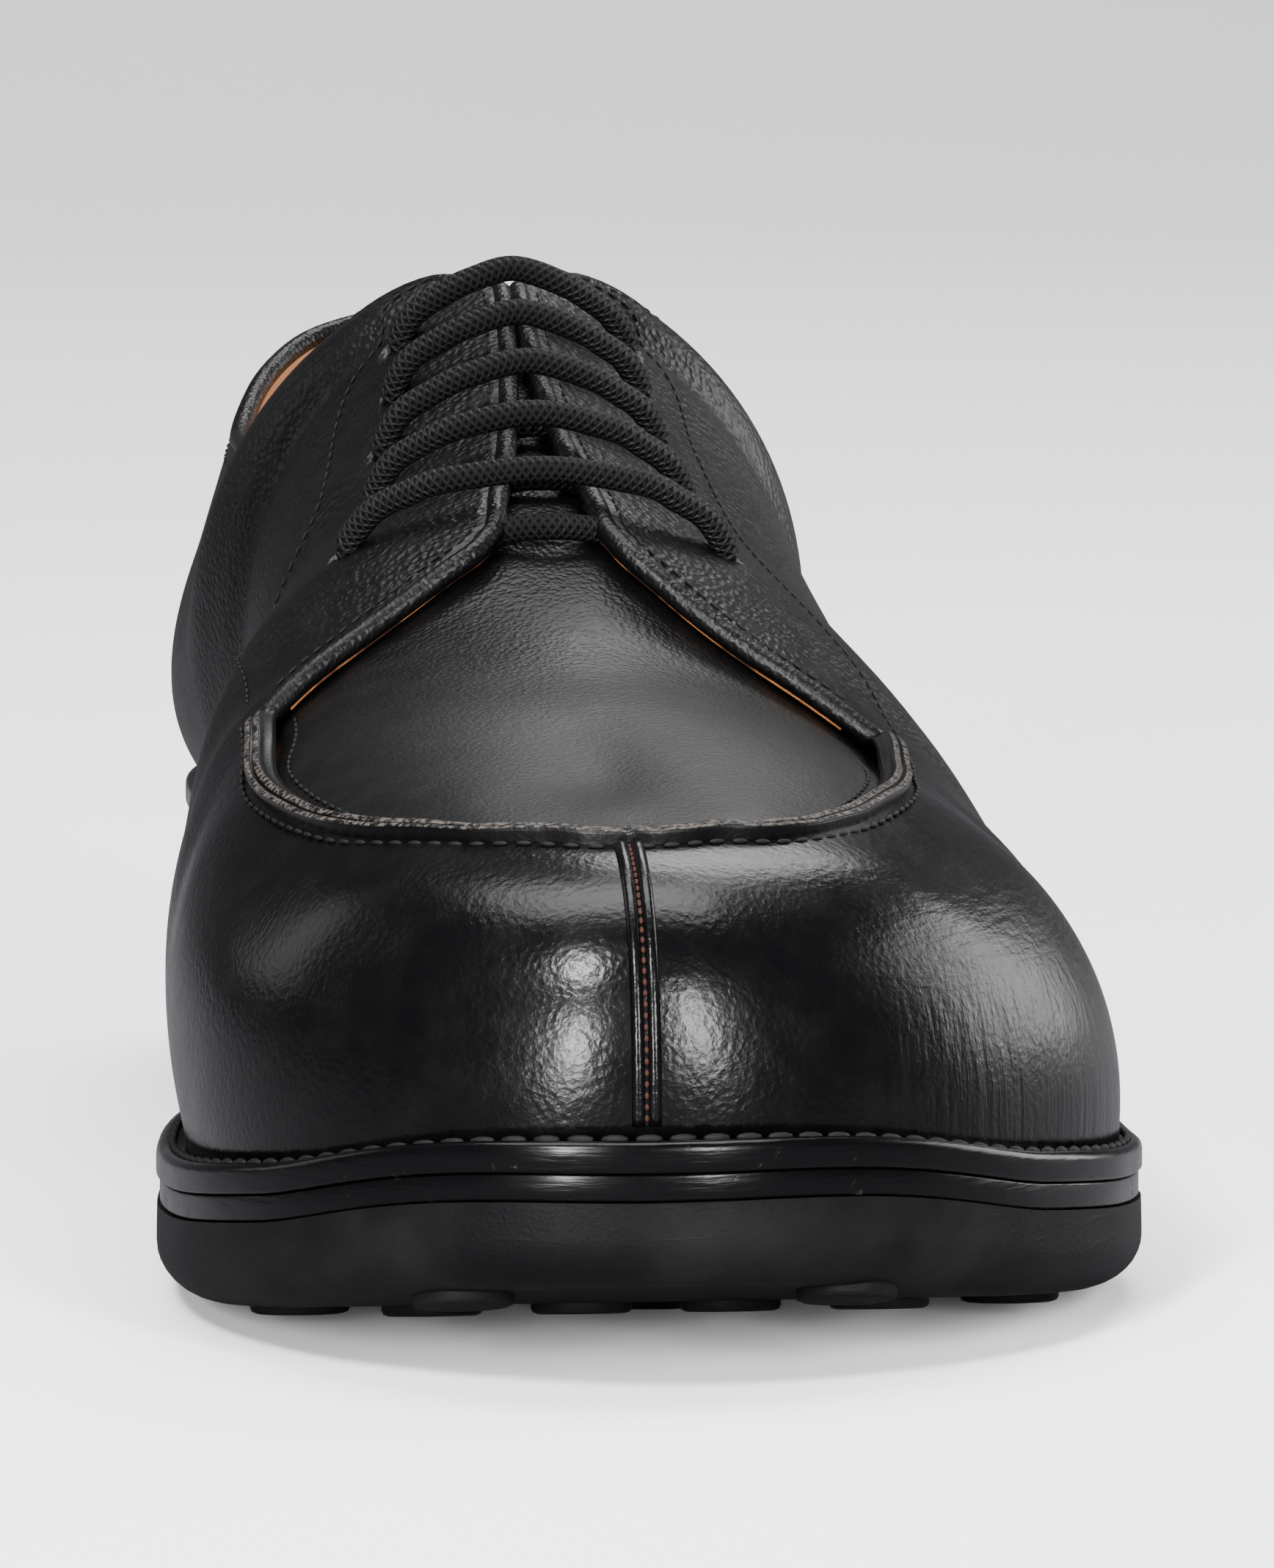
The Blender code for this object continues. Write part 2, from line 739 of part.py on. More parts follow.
def spline_through(points, pieces):
    """A smooth curve read at a few places between each pair of points."""
    padded = [points[0] * 2 - points[1]] + points + [points[-1] * 2 - points[-2]]
    found = []
    for i in range(1, len(padded) - 2):
        p0, p1, p2, p3 = padded[i - 1 : i + 3]
        for k in range(pieces):
            t = k / pieces
            found.append(
                0.5 * (2 * p1 + (p2 - p0) * t + (2 * p0 - 5 * p1 + 4 * p2 - p3) * t**2 + (3 * p1 - p0 - 3 * p2 + p3) * t**3)
            )
    return found + [points[-1]]


for old in list(bpy.data.objects):
    bpy.data.objects.remove(old)
parts = bpy.data.collections.new("split_toe_derby")
tools = bpy.data.collections.new("cutters")
bpy.context.scene.collection.children.link(parts)
bpy.context.scene.collection.children.link(tools)

rubber = finish_material("rubber", (0.018, 0.018, 0.019), 0.62)
edge_leather = finish_material("edge_leather", (0.012, 0.012, 0.013), 0.32)
calf = finish_material("calf", (0.010, 0.010, 0.011), 0.34)
tan_leather = finish_material("tan_leather", (0.42, 0.20, 0.09), 0.55)
braid = finish_material("braid", (0.012, 0.012, 0.013), 0.70)

outsole(rubber)
midsole(edge_leather)
welt(edge_leather)
insole(tan_leather)
heel_stack(edge_leather)
heel_top_piece(rubber)
upper(calf)
tongue(calf)
for number, row in enumerate(LACE_ROWS, start=1):
    lace_row(number, row, braid)
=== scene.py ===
import bisect
import math

import bmesh
import bpy
import numpy
from mathutils import Matrix, Vector


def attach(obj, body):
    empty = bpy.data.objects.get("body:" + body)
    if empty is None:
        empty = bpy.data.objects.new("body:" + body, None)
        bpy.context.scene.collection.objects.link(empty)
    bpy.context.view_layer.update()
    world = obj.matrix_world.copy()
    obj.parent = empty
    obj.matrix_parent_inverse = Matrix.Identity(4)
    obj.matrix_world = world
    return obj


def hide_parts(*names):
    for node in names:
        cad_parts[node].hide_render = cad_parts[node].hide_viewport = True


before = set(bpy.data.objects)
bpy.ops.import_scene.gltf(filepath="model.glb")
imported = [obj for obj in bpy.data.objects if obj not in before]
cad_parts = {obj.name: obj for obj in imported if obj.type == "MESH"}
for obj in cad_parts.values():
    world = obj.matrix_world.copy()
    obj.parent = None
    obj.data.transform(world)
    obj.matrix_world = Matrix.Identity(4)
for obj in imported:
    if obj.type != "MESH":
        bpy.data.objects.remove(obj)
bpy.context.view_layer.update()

print("frame loaded", sorted(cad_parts))

scene = bpy.context.scene
mm = 0.001
medial, lateral = bothSides = (-1, 1)
up = Vector((0, 0, 1))

shoe = {
    "length": 0.302,
    "ballWidth": 0.1105,
    "studHeight": 0.0012,
    "rubber": 0.0094,
    "soleRounding": 0.0050,
    "midsole": 0.0030,
    "welt": 0.0034,
    "insoleProud": 0.0012,
    "heelLength": 0.074,
    "heelTaper": 0.0016,
    "topPiece": 0.0065,
    "gap": 0.0003,
    "apronCorner": 0.385,
    "notch": 0.435,
    "throatTop": 0.60,
    "tongueFront": 0.456,
}

# share of the length, medial and lateral half width as shares of the ball width
outline = (
    (0.00, 0.318, 0.322),
    (0.13, 0.318, 0.322),
    (0.26, 0.290, 0.328),
    (0.36, 0.248, 0.352),
    (0.46, 0.252, 0.408),
    (0.58, 0.330, 0.497),
    (0.66, 0.404, 0.548),
    (0.71, 0.428, 0.566),
    (0.76, 0.438, 0.566),
    (0.83, 0.440, 0.545),
    (0.91, 0.434, 0.505),
    (1.00, 0.425, 0.465),
)
toeRound = (0.745, 2.35)
heelRound = (0.135, 2.3)

# share of the length and height of the tread, mm
rise = (
    (0.00, 21.0),
    (0.12, 20.2),
    (0.25, 18.4),
    (0.34, 14.6),
    (0.44, 8.2),
    (0.53, 2.8),
    (0.60, 0.0),
    (0.73, 0.0),
    (0.80, 1.0),
    (0.90, 4.8),
    (1.00, 11.0),
)

# station, then how far the upper's foot stands inside the sole edge, medial and lateral, mm
margin = (
    (0.00, 5.4, 5.4),
    (0.25, 3.6, 2.8),
    (0.36, 3.4, 2.6),
    (0.50, 2.4, 3.0),
    (0.65, 2.2, 3.4),
    (0.80, 2.8, 2.8),
    (1.00, 3.0, 3.0),
)

# station, along from the heel, half width and height, mm
topLine = (
    (0.00, 262.0, 0.0, 57.6),
    (0.12, 257.0, 0.0, 58.6),
    (0.22, 246.0, 0.0, 61.2),
    (0.30, 231.0, 0.0, 65.0),
    (0.36, 215.0, 0.4, 69.8),
    (0.40, 200.0, 3.0, 75.2),
    (0.435, 187.0, 6.4, 82.0),
    (0.50, 162.0, 3.2, 92.0),
    (0.56, 142.0, 1.4, 101.5),
    (0.60, 129.0, 1.0, 107.2),
    (0.625, 122.5, 7.5, 108.0),
    (0.655, 114.0, 17.5, 103.2),
    (0.70, 99.0, 25.5, 92.0),
    (0.76, 76.0, 29.5, 83.6),
    (0.82, 54.0, 29.5, 83.2),
    (0.88, 35.0, 26.0, 88.6),
    (0.94, 20.0, 17.0, 94.4),
    (1.00, 13.0, 0.0, 97.0),
)

innerDip = (0.0030, 0.71, 0.045)  # depth, station and spread

# station, low along, low out medial and lateral, reach medial and lateral, drop medial and lateral
section = (
    (0.00, 0.30, 0.37, 0.37, 0.56, 0.56, 0.00, 0.00),
    (0.15, 0.30, 0.38, 0.39, 0.56, 0.50, 0.00, 0.00),
    (0.26, 0.27, 0.40, 0.41, 0.57, 0.34, 0.00, 0.00),
    (0.36, 0.26, 0.37, 0.36, 0.62, 0.29, 0.00, 0.02),
    (0.43, 0.27, 0.34, 0.33, 0.56, 0.34, 0.06, 0.09),
    (0.50, 0.28, 0.30, 0.30, 0.46, 0.37, 0.12, 0.14),
    (0.60, 0.28, 0.23, 0.26, 0.42, 0.38, 0.13, 0.14),
    (0.70, 0.28, 0.20, 0.20, 0.20, 0.19, 0.25, 0.25),
    (0.80, 0.28, 0.18, 0.17, 0.10, 0.10, 0.28, 0.28),
    (1.00, 0.30, 0.18, 0.18, 0.07, 0.07, 0.25, 0.25),
)

# station, share of the section where the apron seam runs, medial and lateral
seam = (
    (0.00, 0.800, 0.800),
    (0.08, 0.770, 0.765),
    (0.16, 0.690, 0.675),
    (0.24, 0.605, 0.600),
    (0.32, 0.585, 0.560),
    (0.385, 0.620, 0.545),
)

# station, medial and lateral distance of the lace holes from the throat edge, lift of the lace, mm
laceRows = (
    (0.454, 18.5, 17.0, 0.48),
    (0.490, 17.2, 16.0, 0.62),
    (0.525, 16.3, 15.2, 0.40),
    (0.558, 15.0, 14.8, 0.32),
    (0.588, 13.5, 14.2, 0.10),
)


def smooth(rows, column, at, odd=False):
    sign = -1 if odd else 1
    places = [row[0] for row in rows]
    values = [row[column] for row in rows]
    places = [2 * places[0] - places[1]] + places + [2 * places[-1] - places[-2]]
    values = [sign * values[1]] + values + [sign * values[-2]]
    at = min(max(at, places[1]), places[-2])
    i = min(max(bisect.bisect_right(places, at) - 1, 1), len(places) - 3)

    def slope(k):
        before = (values[k] - values[k - 1]) / (places[k] - places[k - 1])
        after = (values[k + 1] - values[k]) / (places[k + 1] - places[k])
        return 0.0 if before * after <= 0 else 2 * before * after / (before + after)

    width = places[i + 1] - places[i]
    t = (at - places[i]) / width
    start = (1 + 2 * t) * (1 - t) ** 2 * values[i] + t * (1 - t) ** 2 * width * slope(i)
    return start + t * t * (3 - 2 * t) * values[i + 1] + t * t * (t - 1) * width * slope(i + 1)


def columnOf(side):
    return 1 if side == medial else 2


def ease(value, low, high):
    # 0 below low, 1 above high and smooth between them
    t = min(max((value - low) / (high - low), 0.0), 1.0)
    return t * t * (3 - 2 * t)


def halfWidth(along, side):
    body = smooth(outline, columnOf(side), along) * shoe["ballWidth"]
    toe = max(0.0, (along - toeRound[0]) / (1 - toeRound[0]))
    heel = max(0.0, (heelRound[0] - along) / heelRound[0])
    return body * math.sqrt(max(0.0, 1 - toe ** toeRound[1])) * math.sqrt(max(0.0, 1 - heel ** heelRound[1]))


widest = [max(halfWidth(i / 400, side) for i in range(401)) for side in bothSides]
axisX = (widest[0] - widest[1]) / 2
axisLength = shoe["length"]
midsoleTop = shoe["rubber"] + shoe["midsole"]
weltTop = midsoleTop + shoe["welt"]


def alongOf(station):
    return (1 + math.cos(math.pi * station)) / 2


def aroundHeel(steps):
    # from the toe up the inner side and back down the outer one
    return [(at, medial) for at in steps] + [(at, lateral) for at in reversed(steps[:-1])]


def edgeOut(station, side):
    if station <= 0:
        return Vector((0, -1, 0))
    if station >= 1:
        return Vector((0, 1, 0))
    a, b = alongOf(max(station - 0.002, 1e-5)), alongOf(min(station + 0.002, 1 - 1e-5))
    run = Vector((side * (halfWidth(b, side) - halfWidth(a, side)), (a - b) * axisLength, 0))
    return Vector((side * run.y, -side * run.x, 0)).normalized()


def edgePoint(station, side, inset=0.0):
    along = alongOf(station)
    plain = Vector((axisX + side * halfWidth(along, side), axisLength / 2 - along * axisLength, 0))
    return plain - edgeOut(station, side) * inset


def treadHeight(y):
    return shoe["studHeight"] + smooth(rise, 1, (axisLength / 2 - y) / axisLength) * mm


def onSole(plan, lift):
    return Vector((plan.x, plan.y, treadHeight(plan.y) + lift))


def marginAt(station, side):
    return smooth(margin, columnOf(side), station) * mm


def topPoint(station, side):
    along, half, height = (smooth(topLine, k, station, odd=k == 2) * mm for k in (1, 2, 3))
    if side == medial:
        # the inner quarter's top line lies lower behind the throat
        depth, middle, wide = innerDip
        height -= depth * math.exp(-((station - middle) / wide) ** 2)
    return Vector((axisX + side * half, axisLength / 2 - along, height))


def throatMiddle(station):
    return (topPoint(station, medial) + topPoint(station, lateral)) / 2


sectionCache = {}


def sectionOf(station, side):
    key = (round(station, 6), side)
    if key not in sectionCache:
        low = onSole(edgePoint(station, side, marginAt(station, side)), weltTop + shoe["gap"])
        high = topPoint(station, side)
        chord = high - low
        line = chord.normalized()
        normal = edgeOut(station, side)
        bulge = (normal - line * normal.dot(line)).normalized() * chord.length
        columns = (1, 2, 4, 6) if side == medial else (1, 3, 5, 7)
        lowAlong, lowOut, reach, drop = (smooth(section, k, station) for k in columns)
        p1 = low + chord * lowAlong + bulge * lowOut
        p2 = high + (normal * reach - up * drop) * chord.length
        sectionCache[key] = (low, p1, p2, high)
    return sectionCache[key]


def lastPoint(station, side, share):
    low, p1, p2, high = sectionOf(station, side)
    rest = 1 - share
    return low * rest**3 + p1 * (3 * rest * rest * share) + p2 * (3 * rest * share * share) + high * share**3


def lastNormal(station, side, share):
    share = min(share, 0.94) if station < shoe["notch"] else share
    a0, a1 = max(station - 0.004, 0.0), min(station + 0.004, 1.0)
    v0, v1 = max(share - 0.01, 0.0), min(share + 0.01, 1.0)
    across = lastPoint(a1, side, share) - lastPoint(a0, side, share)
    if a0 <= 0 or a1 >= 1:
        across.z = 0
        across.y = 0
    rising = lastPoint(station, side, v1) - lastPoint(station, side, v0)
    return rising.cross(across).normalized() * -side


def seamShare(station, side):
    return smooth(seam, columnOf(side), min(station, shoe["apronCorner"]))


def panelTop(station, side):
    if station <= shoe["apronCorner"]:
        return seamShare(station, side)
    if station >= shoe["notch"]:
        return 1.0
    t = (station - shoe["apronCorner"]) / (shoe["notch"] - shoe["apronCorner"])
    corner = seamShare(shoe["apronCorner"], side)
    return corner + (1 - corner) * (t + 0.12 * math.sin(math.pi * t))


# soft troughs and ridges in the leather: side, station, share, spread of station, spread of share, tilt, height mm
folds = (
    (medial, 0.075, 0.34, 0.035, 0.26, 0.00, -0.35),
    (lateral, 0.080, 0.36, 0.035, 0.26, 0.00, -0.40),
    (medial, 0.185, 0.42, 0.030, 0.22, -0.10, 0.55),
    (lateral, 0.200, 0.40, 0.035, 0.16, -0.10, 0.60),
    (lateral, 0.270, 0.47, 0.055, 0.07, 0.00, -0.55),
    (medial, 0.265, 0.50, 0.030, 0.12, 0.12, -0.45),
    (medial, 0.355, 0.42, 0.016, 0.20, 0.10, -0.50),
    (medial, 0.395, 0.38, 0.014, 0.20, 0.10, -0.40),
    (lateral, 0.350, 0.38, 0.016, 0.18, 0.10, -0.50),
    (lateral, 0.392, 0.36, 0.015, 0.18, 0.10, -0.40),
    (medial, 0.500, 0.40, 0.030, 0.20, 0.00, -0.50),
    (lateral, 0.510, 0.38, 0.030, 0.20, 0.00, -0.45),
) + tuple((side, *fold) for side in bothSides for fold in (
    (0.700, 0.60, 0.020, 0.25, 0.10, -0.35),
    (0.780, 0.55, 0.022, 0.30, 0.00, 0.30),
))


def foldHeight(station, side, share):
    height = 0.0
    for where, centre, middle, wide, tall, tilt, depth in folds:
        if where != side or abs(station - centre) > 0.2:
            continue
        across = (station - centre - tilt * (share - middle)) / wide
        height += depth * math.exp(-across * across - ((share - middle) / tall) ** 2)
    return height * mm * min(1.0, share / 0.12)


def overLast(station, side, share, lift):
    return lastPoint(station, side, share) + lastNormal(station, side, share) * lift


def leatherPoint(station, side, share, lift=0.0):
    return overLast(station, side, share, foldHeight(station, side, share) + lift)


# materials

class Value:
    # one socket, with the arithmetic that the patterns use
    def __init__(self, look, socket):
        self.look, self.socket = look, socket

    def math(self, operation, *others):
        return self.look.node("Math", dict(enumerate((self, *others))), operation=operation)

    def __add__(self, other):
        return self.math("ADD", other)

    def __mul__(self, other):
        return self.math("MULTIPLY", other)

    def __sub__(self, other):
        return self.math("SUBTRACT", other)

    def __rsub__(self, other):
        return self.look.node("Math", {0: other, 1: self}, operation="SUBTRACT")

    def __truediv__(self, other):
        return self.math("DIVIDE", other)

    def __pow__(self, other):
        return self.math("POWER", other)

    __radd__, __rmul__ = __add__, __mul__


class Look:
    def __init__(self, name, **constants):
        self.material = bpy.data.materials.new(name)
        self.material.use_nodes = True
        self.tree = self.material.node_tree
        self.shader = self.tree.nodes["Principled BSDF"]
        for key, value in constants.items():
            self.shader.inputs[key.replace("_", " ")].default_value = value
        self.place = self.node("TexCoord", {}, "Object")
        self.uv = self.node("TexCoord", {}, "UV")

    def node(self, kind, sockets, output=0, **settings):
        made = self.tree.nodes.new("ShaderNode" + kind)
        for key, value in settings.items():
            setattr(made, key, value)
        for key, value in sockets.items():
            if isinstance(value, Value):
                self.tree.links.new(value.socket, made.inputs[key])
            else:
                made.inputs[key].default_value = value
        return Value(self, made.outputs[output])

    def noise(self, scale, detail, source=None):
        sockets = {"Vector": source or self.place, "Scale": scale, "Detail": detail, "Roughness": 0.55}
        return self.node("TexNoise", sockets, "Fac")

    def drawn(self, scales, detail, turn=(0.0, 0.0, 0.0)):
        # noise drawn out along the axes that have the smaller scales
        source = self.node("Mapping", {"Vector": self.place, "Scale": scales, "Rotation": turn})
        return self.noise(1.0, detail, source)

    def cells(self, scale, source):
        return self.node("TexVoronoi", {"Vector": source, "Scale": scale}, "Distance")

    def warped(self, reach, scale):
        # object coordinates pushed about by a soft noise, so that cells are not too round
        push = self.node("TexNoise", {"Vector": self.place, "Scale": scale, "Detail": 2.0}, "Color")
        moved = self.node("VectorMath", {0: push, "Scale": reach}, operation="SCALE")
        return self.node("VectorMath", {0: self.place, 1: moved}, operation="ADD")

    def ramp(self, value, low, high):
        sockets = {"Value": value, "From Min": low, "From Max": high}
        return self.node("MapRange", sockets, "Result", clamp=True, interpolation_type="SMOOTHSTEP")

    def axis(self, source, name):
        return self.node("SeparateXYZ", {"Vector": source}, name)

    def blend(self, factor, one, two):
        return self.node("Mix", {0: factor, 6: one, 7: two}, 2, data_type="RGBA")

    def bump(self, height, strength, distance, below=None):
        sockets = {"Height": height, "Strength": strength, "Distance": distance}
        if below:
            sockets["Normal"] = below
        return self.node("Bump", sockets, "Normal")

    def feed(self, **links):
        for key, value in links.items():
            self.tree.links.new(value.socket, self.shader.inputs[key.replace("_", " ")])
        return self.material


def rgb(r, g, b):
    return (r, g, b, 1.0)


calfFinish = {
    "black": rgb(0.0010, 0.0010, 0.0012),
    "worn": rgb(0.0022, 0.0021, 0.0022),
    "polished": 0.25,
    "plain": 0.42,
    "grain": 1050.0,
    "grainDepth": 0.00020,
    "coat": 0.03,
    "rearFrom": (-0.085, -0.015),
    "outerFrom": (0.012, 0.034),
    "frontUntil": (-0.095, -0.06),
    "upperFrom": (0.036, 0.044),
}
inkBlack = rgb(0.0010, 0.0010, 0.0012)


def makeCalf(name, finish, grainy=1.0):
    look = Look(name, Coat_Roughness=0.2, Specular_IOR_Level=0.14)
    x, y, z = (look.axis(look.place, name) for name in "XYZ")
    rear = look.ramp(y, *finish["rearFrom"])  # plain grain there, polished in front
    outer = look.ramp(x, *finish["outerFrom"]) * (1.0 - look.ramp(y, *finish["frontUntil"]))
    upper = look.ramp(z, *finish["upperFrom"])
    grain = look.cells(finish["grain"], look.warped(0.0009, 520.0))
    fine = look.noise(2600.0, 2.0)
    cloud = look.noise(38.0, 4.0)
    scuff = look.noise(220.0, 6.0)
    streaks = look.drawn((900.0, 620.0, 55.0), 3.0)  # short upright creases over the outer toe wall
    slant = look.drawn((120.0, 260.0, 1300.0), 3.0, (0.0, 0.5, 0.35))  # slanting creases above them
    slack = look.drawn((160.0, 420.0, 130.0), 3.0, (0.2, 0.0, 0.4))
    pores = look.ramp(grain, 0.0, 0.85)
    height = pores * (0.16 + rear * 0.72) * grainy + fine * 0.22 + slack * rear * 0.45
    height = height + streaks * outer * (1.5 - upper * 1.2) + slant * outer * upper * 1.6
    low = look.bump(height, 0.75, finish["grainDepth"])
    wide = look.bump(cloud, 0.13, 0.0011, low)
    roughness = finish["polished"] + rear * (finish["plain"] - finish["polished"])
    roughness = roughness + (scuff - 0.5) * 0.14 + (cloud - 0.5) * 0.12 + outer * 0.07
    colour = look.blend(look.ramp(scuff * 0.7 + cloud * 0.3, 0.40, 0.80), finish["black"], finish["worn"])
    coat = finish["coat"] * (1.0 - rear * 0.75)
    return look.feed(Base_Color=colour, Roughness=roughness, Normal=wide, Coat_Weight=coat)


def makeThread(name, colour):
    look = Look(name, Specular_IOR_Level=0.15)
    twist = look.noise(2600.0, 2.0)
    tone = look.blend(twist, colour, rgb(*(c * 1.9 for c in colour[:3])))
    return look.feed(Base_Color=tone, Roughness=0.62 + twist * 0.1, Normal=look.bump(twist, 0.6, 0.0001))


calf = makeCalf("calfBlack", calfFinish)
smoothCalf = makeCalf("apronCalf", dict(calfFinish, plain=0.38, polished=0.43, grain=1500.0), 0.7)
blackThread = makeThread("blackThread", rgb(0.0016, 0.0016, 0.0018))
brownThread = makeThread("brownThread", rgb(0.016, 0.005, 0.003))

look = Look("tanLining", Specular_IOR_Level=0.35)
fibre = look.noise(900.0, 4.0)
stain = look.noise(60.0, 4.0)
tone = look.blend(look.ramp(stain, 0.35, 0.7), rgb(0.50, 0.25, 0.125), rgb(0.34, 0.155, 0.07))
rough = 0.62 + (fibre - 0.5) * 0.2
lining = look.feed(Base_Color=tone, Roughness=rough, Normal=look.bump(fibre, 0.5, 0.0002))

look = Look("rawLiningEdge", Specular_IOR_Level=0.2)
# dye from the black side has run over the edge in places
dyed = look.ramp(look.noise(170.0, 4.0), 0.42, 0.58)
fibre = look.noise(1600.0, 4.0)
tan = look.blend(fibre, rgb(0.22, 0.075, 0.022), rgb(0.42, 0.16, 0.05))
tone = look.blend(dyed, tan, rgb(0.035, 0.012, 0.006))
rawEdge = look.feed(Base_Color=tone, Roughness=0.6 + fibre * 0.2, Normal=look.bump(fibre, 0.7, 0.0002))

look = Look("soleEdgeBlack", Coat_Roughness=0.14, Specular_IOR_Level=0.1)
wax = look.noise(120.0, 4.0)
rub = look.drawn((140.0, 140.0, 1500.0), 5.0)
nicks = look.ramp(look.noise(420.0, 5.0), 0.655, 0.75)
tone = look.blend(nicks, inkBlack, rgb(0.012, 0.0115, 0.011))
rough = 0.20 + (wax - 0.4) * 0.26 + nicks * 0.22
bumps = look.bump(rub * 0.6 + wax * 0.5 - nicks * 0.3, 0.5, 0.00028)
soleEdge = look.feed(Base_Color=tone, Roughness=rough, Normal=bumps, Coat_Weight=0.05 - nicks * 0.05)

look = Look("soleRubber", Specular_IOR_Level=0.05)
dust = look.noise(70.0, 5.0)
tooth = look.noise(2200.0, 3.0)
scratch = look.ramp(look.drawn((60.0, 60.0, 900.0), 4.0), 0.55, 0.75)
tone = look.blend(look.ramp(dust, 0.35, 0.75), rgb(0.0022, 0.0022, 0.0025), rgb(0.0052, 0.0050, 0.0052))
bumps = look.bump(tooth * 0.6 + scratch * 0.4, 0.5, 0.0002)
rubberLook = look.feed(Base_Color=tone, Roughness=0.50 + (dust - 0.5) * 0.2, Normal=bumps)

look = Look("heelStackBlack", Specular_IOR_Level=0.08)
layers = look.axis(look.place, "Z").math("PINGPONG", 0.0024)
line = 1.0 - look.ramp(layers, 0.0, 0.00022)
wax = look.noise(160.0, 4.0)
tone = look.blend(line, rgb(0.0016, 0.0016, 0.0018), rgb(0.0006, 0.0006, 0.0006))
bumps = look.bump(wax * 0.25 - line, 0.5, 0.00012)
stackLook = look.feed(Base_Color=tone, Roughness=0.27 + (wax - 0.5) * 0.22, Normal=bumps)

cutEdgeTops = (((0.21, 0.25), (0.34, 0.38)), ((0.50, 0.54), (0.64, 0.69)))  # shares of the way round the lip
look = Look("cutLeatherEdge", Specular_IOR_Level=0.12)
v = look.axis(look.uv, "Y")
fibre = look.noise(1400.0, 5.0)
# the cut edges are the two flat tops of the profile
crests = [look.ramp(v, *rising) * (1.0 - look.ramp(v, *falling)) for rising, falling in cutEdgeTops]
crest = crests[0] + crests[1]
frayed = crest * look.ramp(fibre, 0.42, 0.60)
tone = look.blend(frayed, inkBlack, rgb(0.055, 0.047, 0.042))
bumps = look.bump(fibre * (0.35 + crest * 1.6), 0.7, 0.00022)
cutEdge = look.feed(Base_Color=tone, Roughness=0.34 + frayed * 0.3, Normal=bumps)

look = Look("laceBraid", Specular_IOR_Level=0.10)
# strands cross in two directions round the cord and run over and under in pairs
u = look.axis(look.uv, "X")
v = look.axis(look.uv, "Y")
turns, pitch = 6.0, 0.0058
along, across = u / pitch * turns, v * turns
one, two = (strand.math("PINGPONG", 0.5) * 2.0 for strand in (along + across, along - across))
over = look.ramp(one - two, -0.12, 0.12)
height = over * (one ** 0.6) + (1.0 - over) * (two ** 0.6)
hair = look.noise(3400.0, 2.0)
# painted shade and highlight: the colour follows the strand height, darker in the grooves between strands and lighter
# on their crests
tone = look.blend(look.ramp(height, 0.35, 0.95), rgb(0.0006, 0.0006, 0.0007), rgb(0.0050, 0.0049, 0.0053))
rough = 0.55 + (hair - 0.5) * 0.3
braidLook = look.feed(Base_Color=tone, Roughness=rough, Normal=look.bump(height + hair * 0.12, 1.0, 0.0006))
print("materials made")

# mesh helpers


def linked(name, data):
    made = bpy.data.objects.new(name, data)
    scene.collection.objects.link(made)
    return made


def newPiece(name, mesh, materials, sharp=None):
    piece = linked(name, mesh)
    for material in materials:
        mesh.materials.append(material)
    mesh.shade_smooth()
    if sharp:
        mesh.set_sharp_from_angle(angle=math.radians(sharp))
    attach(piece, "root")
    return piece


def meshFrom(made):
    mesh = bpy.data.meshes.new("made")
    made.to_mesh(mesh)
    made.free()
    return mesh


def settle(piece):
    # the mesh that the live modifiers make; the object itself goes
    bpy.context.view_layer.update()
    mesh = bpy.data.meshes.new_from_object(piece.evaluated_get(bpy.context.evaluated_depsgraph_get()))
    bpy.data.objects.remove(piece)
    return mesh


def skin(rings, closedRing=False, closedStack=False, capEnds=False, runs=None):
    made = bmesh.new()
    verts = [[made.verts.new(p) for p in ring] for ring in rings]
    layer = made.loops.layers.uv.new("UVMap") if runs else None
    height, width = len(verts), len(verts[0])
    for r in range(height if closedStack else height - 1):
        for c in range(width if closedRing else width - 1):
            r1, c1 = (r + 1) % height, (c + 1) % width
            face = made.faces.new((verts[r][c], verts[r][c1], verts[r1][c1], verts[r1][c]))
            if runs:
                corners = ((r, c), (r, c + 1), (r + 1, c + 1), (r + 1, c))
                for loop, (i, j) in zip(face.loops, corners):
                    loop[layer].uv = (runs[i], j / width)
    if capEnds:
        made.faces.new(verts[0])
        made.faces.new(verts[-1])
    bmesh.ops.remove_doubles(made, verts=made.verts, dist=0.000004)
    bmesh.ops.recalc_face_normals(made, faces=made.faces)
    return meshFrom(made)


def thicken(mesh, wall, materials, rim=0, even=True):
    piece = linked("wall", mesh)
    for material in materials:
        mesh.materials.append(material)
    solid = piece.modifiers.new("wall", "SOLIDIFY")
    solid.thickness = wall
    solid.offset = -1
    solid.use_even_offset = even
    solid.material_offset = 1
    solid.material_offset_rim = rim
    return settle(piece)


def throughPoints(points, pieces):
    padded = [points[0] * 2 - points[1]] + list(points) + [points[-1] * 2 - points[-2]]
    found = []
    for i in range(1, len(padded) - 2):
        p0, p1, p2, p3 = padded[i - 1 : i + 3]
        for k in range(pieces):
            t = k / pieces
            bend = (2 * p0 - 5 * p1 + 4 * p2 - p3) * t**2 + (3 * p1 - p0 - 3 * p2 + p3) * t**3
            found.append(0.5 * (2 * p1 + (p2 - p0) * t + bend))
    return found + [points[-1]]


